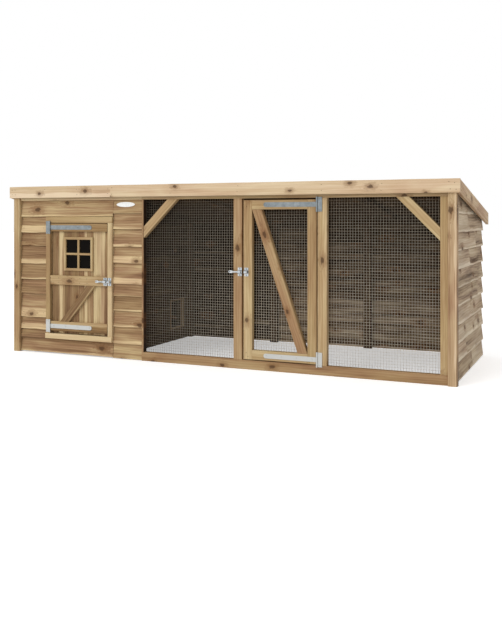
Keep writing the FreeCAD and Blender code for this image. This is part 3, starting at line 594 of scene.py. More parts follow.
def timber(node, planks, material, slot="frame_timber"):
    """Joins a node's planks into the piece that stands for it."""
    obj = piece("wood_" + node, join(planks, new_bm()), material, slot, body_of[node], node)
    print(node, len(planks), "planks,", len(obj.data.polygons), "faces")
    return obj


print("piece makers ready")

# %% [markdown]
# ## Posts
# Two planed posts with rounded edges stand in front, and two sawn ones behind the boards.
# Each is a plank in the box of its node; the roof plane cuts it, because its top is not level.

# %% Posts
POST_ROUNDING = 6 * MM
BACK_POST_W = 40 * MM
# The right post's pale band along the right edge of its front is a painted highlight on the rounded arris
for node, material, tone, band, eye in (
        ("front_left_post", FRAME_WOOD, 0.15, BAND_NONE, (0.414, -1.168, 0.006)),
        ("front_right_post", TRIM_WOOD, -0.55, (1.1605, 1.1675), (0.745, 1.143, 0.009))):
    low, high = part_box(node)
    post = plank(low, (high.x, high.y, FRONT_HEIGHT), Z, POST_ROUNDING, tone, band, eye, face=Y)
    if node == "front_right_post":
        # Painted shade: the side face's tone is lowered
        # Its side face is darker than its front in the photograph
        shade(post, X, high.x - 2 * MM, high.x + MM, drop=0.7)
    timber(node, [under_roof(post)], material)
low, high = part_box("back_posts")
timber("back_posts", [under_roof(plank((x, low.y, 0), (x + BACK_POST_W, high.y, FRONT_HEIGHT), Z))
                      for x in (low.x, high.x - BACK_POST_W)], INNER_WOOD, "inner_timber")

# %% [markdown]
# ## Run front
# Battens between the posts frame two mesh bays and the door: a sill, a top rail and four uprights.
# They could share one grain, but each is its own plank with its own tone, and each upright has one
# large knot.

# %% Sill, rail and uprights of the run
BATTEN_KNOT = 9 * MM
low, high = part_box("front_top_rail")
rail = plank(low, (high.x, high.y, FRONT_HEIGHT), X, tone=0.35)
timber("front_top_rail", [under_roof(rail)], FRAME_WOOD)
low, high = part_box("front_sill")
timber("front_sill", [plank(low, high, X, tone=0.0)], RED_WOOD)
for node, material, tone, knot_z in (("run_edge_batten", BOARD_WOOD, 0.1, 0.2),
                                     ("latch_post", RED_WOOD, 0.3, 0.57),
                                     ("hinge_post", FRAME_WOOD, 0.35, 0.52),
                                     ("end_stile", FRAME_WOOD, 0.0, 0.02)):
    low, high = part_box(node)
    upright = plank(low, high, Z, tone=tone, eye=(knot_z, (low.x + high.x) / 2, BATTEN_KNOT), face=Y)
    if node == "run_edge_batten":
        # Its edge looks into the dark run and gets painted shade
        shade(upright, X, high.x - 1.2 * MM, high.x + MM, drop=2.6)
    timber(node, [upright], material)

# %% [markdown]
# ## Knee braces
# A short length at 45 degrees stiffens the upper outer corner of each mesh bay.
# It is a brace cut off by the upright and by the rail, as a saw would do it.

# %% Knee braces
BRACE_LEG = 190 * MM
BRACE_W = 40 * MM
middle = BRACE_LEG - BRACE_W / math.sqrt(2)
knees = []
for x, side in ((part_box("run_edge_batten")[1].x, 1), (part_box("end_stile")[0].x, -1)):
    cuts = [((x, 0, 0), (-side, 0, 0)), ((0, 0, RAIL_Z), (0, 0, 1))]
    knees.append(brace((x, RAIL_Z - middle), (x + side * middle, RAIL_Z), BRACE_W,
                       PANEL_FRONT, PANEL_BACK, cuts, tone=0.1))
timber("knee_braces", knees, FRAME_WOOD)

# %% [markdown]
# ## Run door
# Two stiles, two rails and one long brace, all of batten, make the frame that holds the door's mesh.
# The stiles run through and the rails fit between them, so each is a plank of its own.

# %% Run door
DOOR_BRACE_RUN = 48 * MM
low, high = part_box("run_door_stiles")
inner = (low.x + BATTEN, high.x - BATTEN)
rails = (low.z + BATTEN, high.z - BATTEN)
timber("run_door_stiles", [plank(low, (inner[0], high.y, high.z), Z, tone=0.3),
                           plank((inner[1], low.y, low.z), high, Z, tone=-0.1)], FRAME_WOOD)
timber("run_door_rails", [plank((inner[0], low.y, rails[1]), (inner[1], high.y, high.z), X, tone=0.0),
                          plank((inner[0], low.y, low.z), (inner[1], high.y, rails[0]), X, tone=0.2)],
       FRAME_WOOD)
top = (inner[0] + DOOR_BRACE_RUN / 2, rails[1])
foot = (inner[1] - DOOR_BRACE_RUN / 2, rails[0])
slant = math.hypot(foot[0] - top[0], foot[1] - top[1])
cuts = [((0, 0, rails[1]), (0, 0, 1)), ((0, 0, rails[0]), (0, 0, -1))]
width = DOOR_BRACE_RUN * (top[1] - foot[1]) / slant
timber("run_door_brace", [brace(foot, top, width, PANEL_FRONT, PANEL_BACK, cuts, tone=0.2,
                                eye=(0.82 * slant, 0, BATTEN_KNOT))], RED_WOOD)

# %% [markdown]
# ## House front
# Boards lap over each other like roof tiles, so each is a wedge that leans on the one below.
# Even courses would look printed: the boards have the widths, tones and pale strips of sapwood that the
# photograph shows. Only the two long boards, above and below the door, are given an eased edge here.

# %% Lapped boards of the house front
DOOR_HEAD_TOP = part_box("door_head")[1].z
JAMB_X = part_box("door_jambs")[0].x
THRESHOLD_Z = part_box("door_threshold")[0].z
FOOT_LAP = 6 * MM
SEAM = 1.2 * MM
POST_NAIL = 18 * MM
JAMB_NAIL = 22 * MM
LEFT_END = -POST_IN + 1.5 * MM


def courses_of(heights, low, high):
    """Number, foot and top of each board from the foot up, for boards that share a height."""
    scale = (high - low) / sum(heights)
    for k, height in enumerate(heights):
        yield k, low, low + height * scale
        low += height * scale


low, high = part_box("house_front_boards")
# Heights of the boards beside the door from the foot up, their tones and their sapwood bands
HEIGHTS = (46, 64, 125, 75, 83, 96, 69, 86)
TONES = (-0.5, -0.3, -0.1, -0.1, -0.25, -0.2, -0.35, -0.15)
BANDS = {1: (0.10, 0.153), 2: (0.17, 0.235), 4: (0.37, 0.394), 5: (0.45, 0.492), 7: (0.62, 0.673)}
EYES = {2: (-1.061, 0.203, 0.008)}
foot_z = THRESHOLD_Z - FOOT_LAP
rake = board_rake(min(HEIGHTS) * (DOOR_HEAD_TOP - foot_z) / sum(HEIGHTS))
boards = []
for k, z, reach in courses_of(HEIGHTS, foot_z, DOOR_HEAD_TOP):
    reach += BOARD_LAP if k < len(HEIGHTS) - 1 else 0
    boards.append(lap_board("front", LEFT_END, JAMB_X, z, reach, rake, 6 * MM,
                            (-POST_IN + POST_NAIL, JAMB_X - JAMB_NAIL), TONES[k],
                            BANDS.get(k, BAND_NONE), EYES.get(k, KNOT_NONE)))
rake = board_rake(BOARD_COURSE)
boards.append(lap_board("front", LEFT_END, JOINT_X - SEAM, DOOR_HEAD_TOP, RAIL_Z, rake, waney=2 * MM,
                        tone=0.05, band=(0.70, DOOR_HEAD_TOP + 8 * MM), eye=(-0.835, 0.792, 0.009),
                        eased=True))
boards.append(lap_board("front", LEFT_END, JOINT_X - SEAM, low.z, THRESHOLD_Z, rake, waney=1 * MM,
                        tone=-0.15, band=(-0.02, low.z + 9 * MM), eye=(-0.619, 0.045, 0.010),
                        eased=True))
timber("house_front_boards", boards, BOARD_WOOD, "lapped_boards")
low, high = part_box("house_top_strip")
# Pale planed wood, its tone raised further as painted light where the fascia shades it
timber("house_top_strip", [plank(low, high, X, tone=1.3)], FRAME_WOOD)

# %% [markdown]
# ## Narrow panel
# To the right of the joint a narrow panel of the same boards closes the house off from the run.
# Its boards have other widths, so it is set out on its own; the lowest reaches down as far as the sill.

# %% Narrow boarded panel
NARROW_TOP_Z = RAIL_Z - 69 * MM
low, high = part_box("narrow_panel_boards")
HEIGHTS = (64, 86, 80, 75, 62, 104, 83, 89, 81)
TONES = (0.0, -0.1, 0.05, -0.35, 0.05, 0.1, 0.1, 0.0, 0.1)
BANDS = {1: (0.06, 0.093), 2: (0.15, 0.168), 3: (0.23, 0.250), 5: (0.36, 0.410), 6: (0.47, 0.518),
         7: (0.55, 0.580), 8: (0.64, 0.664)}
EYES = {2: (-0.392, 0.175, 0.009), 6: (-0.410, 0.494, 0.008)}
rake = board_rake(min(HEIGHTS) * (NARROW_TOP_Z - low.z) / sum(HEIGHTS))
boards = []
for k, z, reach in courses_of(HEIGHTS, low.z, NARROW_TOP_Z):
    boards.append(lap_board("front", JOINT_X + SEAM, EDGE_X, z if k else WALL_LIFT, reach + BOARD_LAP, rake,
                            (5 if k else 1) * MM, (), TONES[k], BANDS.get(k, BAND_NONE),
                            EYES.get(k, KNOT_NONE)))
boards.append(lap_board("front", JOINT_X + SEAM, EDGE_X, NARROW_TOP_Z, RAIL_Z, rake, waney=2 * MM,
                        tone=0.1))
timber("narrow_panel_boards", boards, BOARD_WOOD, "lapped_boards")

# %% [markdown]
# ## Studs and door lining
# Behind the boards stand sawn studs under one rail, and planed strips line the doorway.
# The lining could be one frame, but its jambs, head and threshold are separate lengths of different tone.

# %% Studs and door lining
JAMB_W = 26 * MM
low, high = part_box("house_front_studs")
studs = [plank((x, low.y, WALL_LIFT), (x + BATTEN, high.y, RAIL_Z), Z)
         for x in (-POST_IN, JAMB_X - BATTEN, JOINT_X, EDGE_X - BATTEN)]
studs.append(under_roof(plank((-POST_IN, low.y, RAIL_Z), (EDGE_X, high.y, FRONT_HEIGHT), X)))
timber("house_front_studs", studs, INNER_WOOD, "inner_timber")
low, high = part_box("door_jambs")
timber("door_jambs", [plank(low, (low.x + JAMB_W, high.y, high.z), Z, tone=-0.3),
                      plank((high.x - JAMB_W, low.y, low.z), high, Z, tone=0.8)], FRAME_WOOD)
for node, tone in (("door_head", -0.2), ("door_threshold", 1.1)):
    low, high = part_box(node)
    timber(node, [plank(low, high, X, tone=tone)], FRAME_WOOD)

# %% [markdown]
# ## House door
# Vertical boards are held by three ledges and a brace, all nailed through, round a small window.
# A hole could be cut in one panel, but real boards stop above and below the window, so these do too.

# %% House door timber
THIN_ROUNDING = 1.5 * MM
LEDGE_TOP = 42 * MM
LEDGE_MIDDLE = 48 * MM
HOUSE_BRACE_RUN = 52 * MM
low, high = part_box("house_door_boards")
win_low, win_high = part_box("window_frame")
mid_x = (win_low.x + win_high.x) / 2
left_x = (low.x + win_low.x) / 2
right_x = (win_high.x + high.x) / 2
full = ((low.z, high.z),)
split = ((low.z, win_low.z), (win_high.z, high.z))
boards = []
for a, b, spans, tone, band in ((low.x, left_x, full, -0.5, BAND_NONE),
                                (left_x, win_low.x, full, 0.1, (-0.882, -0.862)),
                                (win_high.x, right_x, full, 0.75, BAND_NONE),
                                (right_x, high.x, full, -0.3, (-0.628, -0.600)),
                                (win_low.x, mid_x, split, -0.3, BAND_NONE),
                                (mid_x, win_high.x, split, 0.0, (-0.727, -0.708))):
    for z0, z1 in spans:
        boards.append(plank((a, low.y, z0), (b, high.y, z1), Z, THIN_ROUNDING, tone, band))
timber("house_door_boards", boards, DOOR_WOOD, "lapped_boards")
low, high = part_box("house_door_ledges")
brace_low, brace_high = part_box("house_door_brace")
ledges = []
for z0, z1, tone, band, eye in (
        (high.z - LEDGE_TOP, high.z, -0.4, BAND_NONE, KNOT_NONE),
        (brace_high.z, brace_high.z + LEDGE_MIDDLE, 0.0, BAND_NONE, (-0.81, 0.385, 0.009)),
        (low.z, brace_low.z, -0.9, (0.154, 0.19), KNOT_NONE)):
    ledges.append(plank((low.x, low.y, z0), (high.x, high.y, z1), X, tone=tone, band=band, eye=eye))
timber("house_door_ledges", ledges, FRAME_WOOD)
foot = (brace_low.x + HOUSE_BRACE_RUN / 2, brace_low.z)
head = (brace_high.x - HOUSE_BRACE_RUN / 2, brace_high.z)
slant = math.hypot(head[0] - foot[0], head[1] - foot[1])
cuts = [((0, 0, head[1]), (0, 0, 1)), ((0, 0, foot[1]), (0, 0, -1))]
width = HOUSE_BRACE_RUN * (head[1] - foot[1]) / slant
timber("house_door_brace", [brace(foot, head, width, brace_low.y, brace_high.y, cuts, tone=-0.6,
                                  band=(-0.03, -0.0175))], DOOR_WOOD)

# %% [markdown]
# ## Window
# Four slips frame the pane, and two glazing bars cross in front of it.
# One upright bar runs through and the level one is in two halves, as a joiner would fit them.

# %% Window frame and glazing bars
SLIP_W = 13 * MM
BAR_HALF = 5.5 * MM
SLIM = 1 * MM
low, high = win_low, win_high
sides = [plank(low, (low.x + SLIP_W, high.y, high.z), Z, SLIM, tone=-0.1, bow=0.2 * MM),
         plank((high.x - SLIP_W, low.y, low.z), high, Z, SLIM, tone=0.0, bow=0.2 * MM)]
for z0, z1 in ((low.z, low.z + SLIP_W), (high.z - SLIP_W, high.z)):
    sides.append(plank((low.x + SLIP_W, low.y, z0), (high.x - SLIP_W, high.y, z1), X, SLIM, tone=0.1,
                       bow=0.2 * MM))
timber("window_frame", sides, FRAME_WOOD)
low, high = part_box("window_muntins")
mid_z = (low.z + high.z) / 2
bars = [plank((mid_x - BAR_HALF, low.y, low.z), (mid_x + BAR_HALF, high.y, high.z), Z, SLIM, tone=0.0,
              bow=0.1 * MM)]
for a, b in ((low.x, mid_x - BAR_HALF), (mid_x + BAR_HALF, high.x)):
    bars.append(plank((a, low.y, mid_z - BAR_HALF), (b, high.y, mid_z + BAR_HALF), X, SLIM, tone=0.1,
                      bow=0.1 * MM))
timber("window_muntins", bars, FRAME_WOOD)

# %% [markdown]
# ## Side and back walls
# Rougher and greyer boards, with their barky lower edge left on; each course is butted from two lengths.
# One board copied up the wall would repeat its knots, so every length is made anew with its own seed.

# %% Walls
NAIL_IN = 20 * MM
# A band that starts below the board makes the whole lower edge pale: sapwood, and a painted highlight where
# the edge catches the light
BELOW_EDGE = 20 * MM
low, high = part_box("right_wall_boards")
courses = math.ceil((max(roof_under(POST_BACK), roof_under(BACK)) - WALL_LIFT) / BOARD_COURSE)
rake = board_rake(BOARD_COURSE)
for wall in ("left", "right"):
    boards = []
    for k in range(courses):
        z = WALL_LIFT + k * BOARD_COURSE
        reach = z + BOARD_COURSE + (BOARD_LAP if k < courses - 1 else 0)
        butt = rng.uniform(-0.15, 0.28)
        for start, end in ((low.y, butt), (butt, high.y)):
            tone = rng.uniform(-0.3, 0.3)
            band = (z - BELOW_EDGE, z + rng.uniform(7, 16) * MM)
            boards.append(lap_board(wall, start, end, z, reach, rake, (6 if k else 2) * MM,
                                    (start + NAIL_IN, end - NAIL_IN), tone, band))
    timber(wall + "_wall_boards", boards, SIDE_WOOD, "lapped_boards")
low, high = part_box("back_wall_boards")
back_high = roof_under(BACK_STUD_BACK)
courses = round((back_high - WALL_LIFT) / BOARD_COURSE)
course = (back_high - WALL_LIFT) / courses
rake = board_rake(course)
boards = []
for start, end in ((low.x, 0.0), (0.0, high.x)):
    for k in range(courses):
        z = WALL_LIFT + k * course
        reach = z + course + (BOARD_LAP if k < courses - 1 else 0)
        tone = rng.uniform(-0.3, 0.3)
        band = (z - BELOW_EDGE, z + rng.uniform(5, 14) * MM)
        boards.append(lap_board("back", start, end, z, reach, rake, (8 if k else 1) * MM,
                                (start + NAIL_IN, (start + end) / 2, end - NAIL_IN), tone, band))
timber("back_wall_boards", boards, SIDE_WOOD, "lapped_boards")

# %% [markdown]
# ## Wall studs
# Two studs to each side and three to the back hold the boards, and a rail at the back carries the rafters.
# They show only through the mesh, so they are plain planks of the dark inner timber.

# %% Wall studs
third = (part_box("back_posts")[0].y - POST_BACK - 2 * BATTEN) / 3
studs = []
for x in (-SIDE_STUD_OUT, SIDE_STUD_IN):
    for k in (1, 2):
        y = POST_BACK + k * third + (k - 1) * BATTEN
        studs.append(under_roof(plank((x, y, WALL_LIFT), (x + BATTEN_T, y + BATTEN, FRONT_HEIGHT), Z)))
timber("side_wall_studs", studs, INNER_WOOD, "inner_timber")
low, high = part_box("back_wall_studs")
rail_z = roof_under(BACK_STUD_BACK) - BATTEN
studs = [under_roof(plank((low.x, low.y, rail_z), (high.x, high.y, FRONT_HEIGHT), X))]
for quarter in (-1, 0, 1):
    x = quarter * high.x / 2 - BATTEN / 2
    studs.append(plank((x, low.y, WALL_LIFT), (x + BATTEN, high.y, rail_z), Z))
timber("back_wall_studs", studs, INNER_WOOD, "inner_timber")

# %% [markdown]
# ## Partition
# A wall of boards on studs parts the house from the run, with a lined pop hole for the animals.
# A boolean would cut the hole and its grain would run on; boards that stop at the hole look built.

# %% Partition and pop hole
COURSE = 85 * MM
LINER_T = 10 * MM
# Tone at the ground, and how much it falls with each metre, because less light comes in higher up
PARTITION_TONE = 0.7
PARTITION_FADE = 2.2
low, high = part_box("partition_boards")
hole_low, hole_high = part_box("pop_hole_liner")
boards = [plank(low, (high.x, high.y, hole_low.z), Y, tone=0.5)]
z = hole_low.z
while z < max(roof_under(low.y), roof_under(high.y)):
    spans = [(low.y, high.y)]
    if z < hole_high.z - MM:
        spans = [(low.y, hole_low.y), (hole_high.y, high.y)]
    for a, b in spans:
        boards.append(under_roof(plank((low.x, a, z), (high.x, b, z + COURSE), Y,
                                       tone=PARTITION_TONE - PARTITION_FADE * z)))
    z += COURSE
timber("partition_boards", boards, INNER_WOOD, "inner_timber")
low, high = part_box("partition_studs")
timber("partition_studs", [under_roof(plank((low.x, y, low.z), (high.x, y + BATTEN, FRONT_HEIGHT), Z))
                           for y in (STUD_BACK, hole_low.y - BATTEN, hole_high.y)],
       INNER_WOOD, "inner_timber")
low, high = hole_low, hole_high
sides = [plank((low.x, y, low.z), (high.x, y + LINER_T, high.z), Z, SLIM, tone)
         for y, tone in ((low.y, -0.6), (high.y - LINER_T, 1.0))]
sides += [plank((low.x, low.y + LINER_T, z), (high.x, high.y - LINER_T, z + LINER_T), Y, SLIM, -0.4)
          for z in (low.z, high.z - LINER_T)]
depth = (low.x + high.x) / 2
# The deeper half lies in the dark of the house and gets painted shade
timber("pop_hole_liner", [shade(side, X, low.x - MM, depth, drop=4.0) for side in sides], FRAME_WOOD,
       "inner_timber")

# %% [markdown]
# ## House floor
# Seven boards on three bearers keep the animals off the ground.
# A single sheet would do where nobody looks, but with the door open the joints show.

# %% House floor
FLOOR_BOARDS = 7
low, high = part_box("house_floor_boards")
width = (high.y - low.y) / FLOOR_BOARDS
timber("house_floor_boards", [plank((low.x, low.y + k * width, low.z),
                                    (high.x, low.y + (k + 1) * width, high.z), X)
                              for k in range(FLOOR_BOARDS)], INNER_WOOD, "inner_timber")
low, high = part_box("floor_bearers")
last = high.x - BATTEN_T
timber("floor_bearers", [plank((x, low.y, low.z), (x + BATTEN_T, high.y, high.z), Y)
                         for x in (low.x, (low.x + last) / 2, last)], INNER_WOOD, "inner_timber")

# %% [markdown]
# ## Roof
# Rafters and boards fall to the back, and planed trim hides their ends: fascia in front, barge boards at
# the sides.
# They could be turned to the slope; lowering each point instead keeps their ends upright, as they are sawn.

# %% Rafters, roof boards and trim
DECK_T = 12 * MM
DECK_BOARDS = 8
RAIL_GAP = 1.6 * MM
TRIM_H = 60 * MM
bay = (SIDE_STUD_IN - JOINT_X) / 4
house_mid = (-SIDE_STUD_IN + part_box("partition_studs")[0].x) / 2
places = [(house_mid, STUD_BACK)] + [(JOINT_X + (k + 1) * bay, PANEL_BACK + RAIL_GAP) for k in range(3)]
level = FRONT_HEIGHT - ROOF_UNDER
timber("rafters", [lean(plank((x - BATTEN / 2, y, level - BATTEN_T),
                              (x + BATTEN / 2, BACK_STUD_FRONT, level), Y))
                   for x, y in places], INNER_WOOD, "inner_timber")
low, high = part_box("roof_boards")
width = (BACK - POST_FRONT) / DECK_BOARDS
timber("roof_boards", [lean(plank((low.x, POST_FRONT + k * width, level),
                                  (high.x, POST_FRONT + (k + 1) * width, level + DECK_T), X))
                       for k in range(DECK_BOARDS)], INNER_WOOD, "inner_timber")
for node, tone, band, eye in (("house_fascia", 0.2, (0.81, 0.842), (-0.70, 0.850, 0.008)),
                              ("run_fascia", 0.4, BAND_NONE, (0.80, 0.850, 0.007))):
    low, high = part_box(node)
    timber(node, [plank(low, high, X, tone=tone, band=band, eye=eye)], TRIM_WOOD, "trim_timber")
for node in ("left_barge_board", "right_barge_board"):
    low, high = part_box(node)
    barge = plank((low.x, low.y, FRONT_HEIGHT - TRIM_H), (high.x, high.y, FRONT_HEIGHT), Y, tone=-0.3,
                  eye=(-0.12, FRONT_HEIGHT - TRIM_H / 2, 9 * MM))
    timber(node, [lean(barge)], TRIM_WOOD, "trim_timber")

# %% [markdown]
# ## Roofing felt
# One flat sheet would do, but felt is laid in strips from the eaves up, each lapping the one below.
# Each strip is a thin grid folded over the strip under it and puckered a little.

# %% Felt strips
STRIPS = 3
FELT_T = 1.4 * MM
FELT_LAP = 70 * MM
LAP_FOLD = 20 * MM
LAP_LIFT = 1.5 * MM
PUCKER = 0.5 * MM
DECK_TOP = FRONT_HEIGHT - 7 * MM
# Bitumen felt with slate chips: a dark grey, gritty and without shine
FELT, tree, shader = new_material("mineral_felt")
at = add_node(tree, "TexCoord")["Object"]
# Slate chips of about 1 mm are drawn 3 mm wide, 330 to the metre, over patches of 140 mm
chips = add_node(tree, "TexVoronoi", {"Vector": at, "Scale": 330.0})["Color"]
chip = add_node(tree, "SeparateColor", {0: chips})[0]
patch = add_node(tree, "TexNoise", {"Vector": at, "Scale": 7.0, "Detail": 4.0})[0]
mixed = add_node(tree, "Math", {0: chip, 1: 0.5, 2: patch}, operation="MULTIPLY_ADD")[0]
colour = add_node(tree, "ValToRGB", {0: mixed}, ((0.3, srgb("#2b2d2c")), (1.0, srgb("#63655f"))))[0]
bump = add_node(tree, "Bump", {"Strength": 0.6, "Distance": 0.8 * MM, "Height": chip})[0]
plug(shader, {"Base Color": colour, "Roughness": 0.92, "Normal": bump})

felt_low, felt_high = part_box("roof_felt")
strip_w = (felt_high.y - felt_low.y) / STRIPS
strips = []
for k in range(STRIPS):
    y0 = felt_low.y + k * strip_w
    y1 = y0 + strip_w + (FELT_LAP if k < STRIPS - 1 else 0)
    sheet = bmesh.new()
    bmesh.ops.create_grid(sheet, x_segments=64, y_segments=16, size=0.5)
    seed = Vector((rng.uniform(0, 40), rng.uniform(0, 40), 0))
    for v in sheet.verts:
        x = felt_low.x + (v.co.x + 0.5) * (felt_high.x - felt_low.x)
        y = y0 + (v.co.y + 0.5) * (y1 - y0)
        over = max(0.0, min(1.0, (y - (y1 - FELT_LAP)) / LAP_FOLD)) if k < STRIPS - 1 else 0.0
        wave = 0.5 + 0.5 * noise.noise(Vector((x * 5, y * 9, 0)) + seed)
        v.co = Vector((x, y, DECK_TOP + over * LAP_LIFT + PUCKER * wave))
    bmesh.ops.recalc_face_normals(sheet, faces=sheet.faces)
    bmesh.ops.solidify(sheet, geom=sheet.faces[:], thickness=-FELT_T)
    bmesh.ops.recalc_face_normals(sheet, faces=sheet.faces)
    strips.append(lean(sheet))
piece("felt_strips", join(strips, bmesh.new()), FELT, "roofing_felt", "enclosure", "roof_felt", smooth=True)
print("felt:", STRIPS, "strips")

# %% [markdown]
# ## Zinc plate
# Hinges, bolts and screws are steel, dipped or plated with zinc, which clouds and spangles as it sets.
# A grey paint would look dead, so it is a true metal whose colour and gloss follow the same clouds.


# %% Zinc plate
def zinc(name, dull, bright, smooth, rough):
    """Zinc plate with soft clouds and fine spangle, and a painted reflection of the pale floor that whitens
    it near the ground.
    """
    material, tree, shader = new_material(name)
    at = add_node(tree, "TexCoord")["Object"]
    # Clouds of about 26 mm and spangle of about 6 mm
    cloud = add_node(tree, "TexNoise", {"Vector": at, "Scale": 38.0, "Detail": 5.0})[0]
    spangle = add_node(tree, "TexVoronoi", {"Vector": at, "Scale": 160.0})["Color"]
    spangle = add_node(tree, "SeparateColor", {0: spangle})[0]
    mixed = add_node(tree, "Math", {0: spangle, 1: 0.12, 2: cloud}, operation="MULTIPLY_ADD")[0]
    colour = add_node(tree, "ValToRGB", {0: mixed}, ((0.35, srgb(dull)), (0.95, srgb(bright))))[0]
    # Painted reflection of the pale floor: the plate turns chalky white near the ground
    above_ground = add_node(tree, "SeparateXYZ", {0: at})[2]
    painted_floor_reflection = add_node(tree, "MapRange", {0: above_ground, 1: 0.3, 2: 0.2, 3: 0.0, 4: 0.8})[0]
    colour = add_node(tree, "Mix", {0: painted_floor_reflection, 6: colour, 7: srgb("#d0d0cc")}, data_type="RGBA")[2]
    gloss = add_node(tree, "MapRange", {0: cloud, 3: smooth, 4: rough})[0]
    bump = add_node(tree, "Bump", {"Strength": 0.15, "Distance": 0.3 * MM, "Height": mixed})[0]
    plug(shader, {"Base Color": colour, "Metallic": 1.0, "Roughness": gloss, "Normal": bump})
    return material


# Hinges: dull blue grey with faint clouds, so they read as metal and not as paint
ZINC = zinc("zinc_plated_steel", "#7d8487", "#aab0b2", 0.3, 0.58)
# Bolts: newer plate, near white where it catches the light
BRIGHT_ZINC = zinc("bright_zinc_plated_steel", "#a4abb0", "#eef1f3", 0.18, 0.36)
print("zinc:", ZINC.name, "and", BRIGHT_ZINC.name)

# %% [markdown]
# ## Steel, acrylic and enamel
# Nail heads, window panes and the oval plate are small, and each is one substance with a slightly uneven
# surface.
# A flat colour would look like plastic, so one soft noise moves both the colour and the gloss.


# %% Steel, acrylic and enamel
def mottled(name, per_metre, detail, stops, gloss, **sockets):
    """A finish whose colour and gloss follow one noise of so many spots to the metre."""
    material, tree, shader = new_material(name)
    at = add_node(tree, "TexCoord")["Object"]
    cloud = add_node(tree, "TexNoise", {"Vector": at, "Scale": per_metre, "Detail": detail})[0]
    stops = [(place, srgb(code)) for place, code in stops]
    colour = add_node(tree, "ValToRGB", {0: cloud}, stops)[0]
    gloss = add_node(tree, "MapRange", {0: cloud, 3: gloss[0], 4: gloss[1]})[0]
    plug(shader, {"Base Color": colour, "Roughness": gloss, **sockets})
    return material


# Steel nails, weathered: a dull dark head with specks of rust of about 3 mm
NAIL_STEEL = mottled("weathered_steel_nails", 300.0, 3.0, ((0.35, "#3b3733"), (0.7, "#5f4936")),
                     (0.45, 0.8), Metallic=0.6)
# Acrylic panes in front of a dark room: almost black, as painted shade of the room behind, with a film of
# dust in patches of 40 mm
ACRYLIC = mottled("acrylic_painted_dark_room", 24.0, 5.0, ((0.0, "#060504"), (1.0, "#15110d")),
                  (0.08, 0.24), **{"IOR": 1.49, "Specular IOR Level": 0.04})
# Enamelled plate: clean white and glossy, with a faint haze
ENAMEL = mottled("white_enamel", 90.0, 3.0, ((0.0, "#e9ebea"), (1.0, "#f7f8f7")), (0.22, 0.34))

HINGES = ["hinge_plates", "hinge_pins", "house_hinge_straps", "run_hinge_straps", "frame_screws",
          "house_door_screws", "run_door_screws"]
BOLTS = ["house_bolt_guide", "house_bolt_keep", "house_bolt_rod", "run_bolt_guide", "run_bolt_keep",
         "run_bolt_rod"]
# These keep their CAD shapes and only change their finish
for names, material in ((HINGES, ZINC), (BOLTS, BRIGHT_ZINC), (["window_pane"], ACRYLIC),
                        (["badge_plate"], ENAMEL)):
    for name in names:
        nodes[name].data.materials.clear()
        nodes[name].data.materials.append(material)
print("finishes on", len(HINGES + BOLTS) + 2, "kept CAD nodes")

# %% [markdown]
# ## Welded mesh
# Half inch welded mesh: upright wires and level wires welded where they cross, stapled behind the battens.
# A flat grid with holes would have no roundness, so each wire is a six-sided tube with a little wave.

# %% Mesh panels
PITCH = 12.7 * MM
WIRE_R = 0.6 * MM
WIRE_STEP = 60 * MM
WIRE_WAVE = 0.3 * MM
TAIL = 3 * MM
# Galvanised wire: pale and warm against the dark run, with clouds of about 17 mm; painted shade makes
# it duller towards the top and by the house, and it is duller near the ground
WIRE, tree, shader = new_material("galvanised_wire")
at = add_node(tree, "TexCoord")["Object"]
cloud = add_node(tree, "TexNoise", {"Vector": at, "Scale": 60.0, "Detail": 4.0})[0]
colour = add_node(tree, "ValToRGB", {0: cloud}, ((0.3, srgb("#bcb09d")), (0.75, srgb("#e8dcc8"))))[0]
place = add_node(tree, "SeparateXYZ", {0: at})
# Painted shade dulls the wire towards the top and towards the house; the middle ramp dulls it near the
# ground
for axis, start, end, most in ((Z, 0.3, 0.75, 0.6), (Z, 0.17, 0.11, 0.35), (X, 0.25, -0.3, 0.7)):
    fade = add_node(tree, "MapRange", {0: place[axis], 1: start, 2: end, 3: 0.0, 4: most})[0]
    colour = add_node(tree, "Mix", {0: fade, 6: colour, 7: srgb("#6b6152")}, data_type="RGBA")[2]
plug(shader, {"Base Color": colour, "Metallic": 0.1, "Roughness": 0.5})


def wires(axis, places, low, high, y):
    """Round wires along an axis at several places of the other one, each waving a little."""
    bm = bmesh.new()
    other = X if axis == Z else Z
    turn = Matrix.Rotation(math.radians(90), 4, "Y") if axis == X else Matrix.Identity(4)
    for place in places:
        spot = Vector((0, y, 0))
        spot[axis] = (low + high) / 2
        spot[other] = place
        bmesh.ops.create_cone(bm, cap_ends=True, segments=6, radius1=WIRE_R, radius2=WIRE_R,
                              depth=high - low, matrix=Matrix.Translation(spot) @ turn)
    divide(bm, axis, WIRE_STEP)
    for v in bm.verts:
        v.co[other] += WIRE_WAVE * noise.noise((v.co[axis] * 6, v.co[other] * 30, axis))
    return bm


for node in ("left_run_mesh", "right_run_mesh", "run_door_mesh"):
    low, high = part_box(node)
    across = int((high.x - low.x - 2 * WIRE_R) / PITCH)
    up = int((high.z - low.z - 2 * WIRE_R) / PITCH)
    first_x = (low.x + high.x - across * PITCH) / 2
    first_z = (low.z + high.z - up * PITCH) / 2
    columns = [first_x + i * PITCH for i in range(across + 1)]
    rows = [first_z + k * PITCH for k in range(up + 1)]
    upright = wires(Z, columns, rows[0] - TAIL, rows[-1] + TAIL, low.y + WIRE_R)
    across_it = wires(X, rows, columns[0] - TAIL, columns[-1] + TAIL, low.y + 2.5 * WIRE_R)
    mesh_bm = join([upright, across_it], bmesh.new())
    piece("wires_" + node, mesh_bm, WIRE, "welded_mesh", body_of[node], node, smooth=True)
    print(node, len(columns), "by", len(rows), "wires")

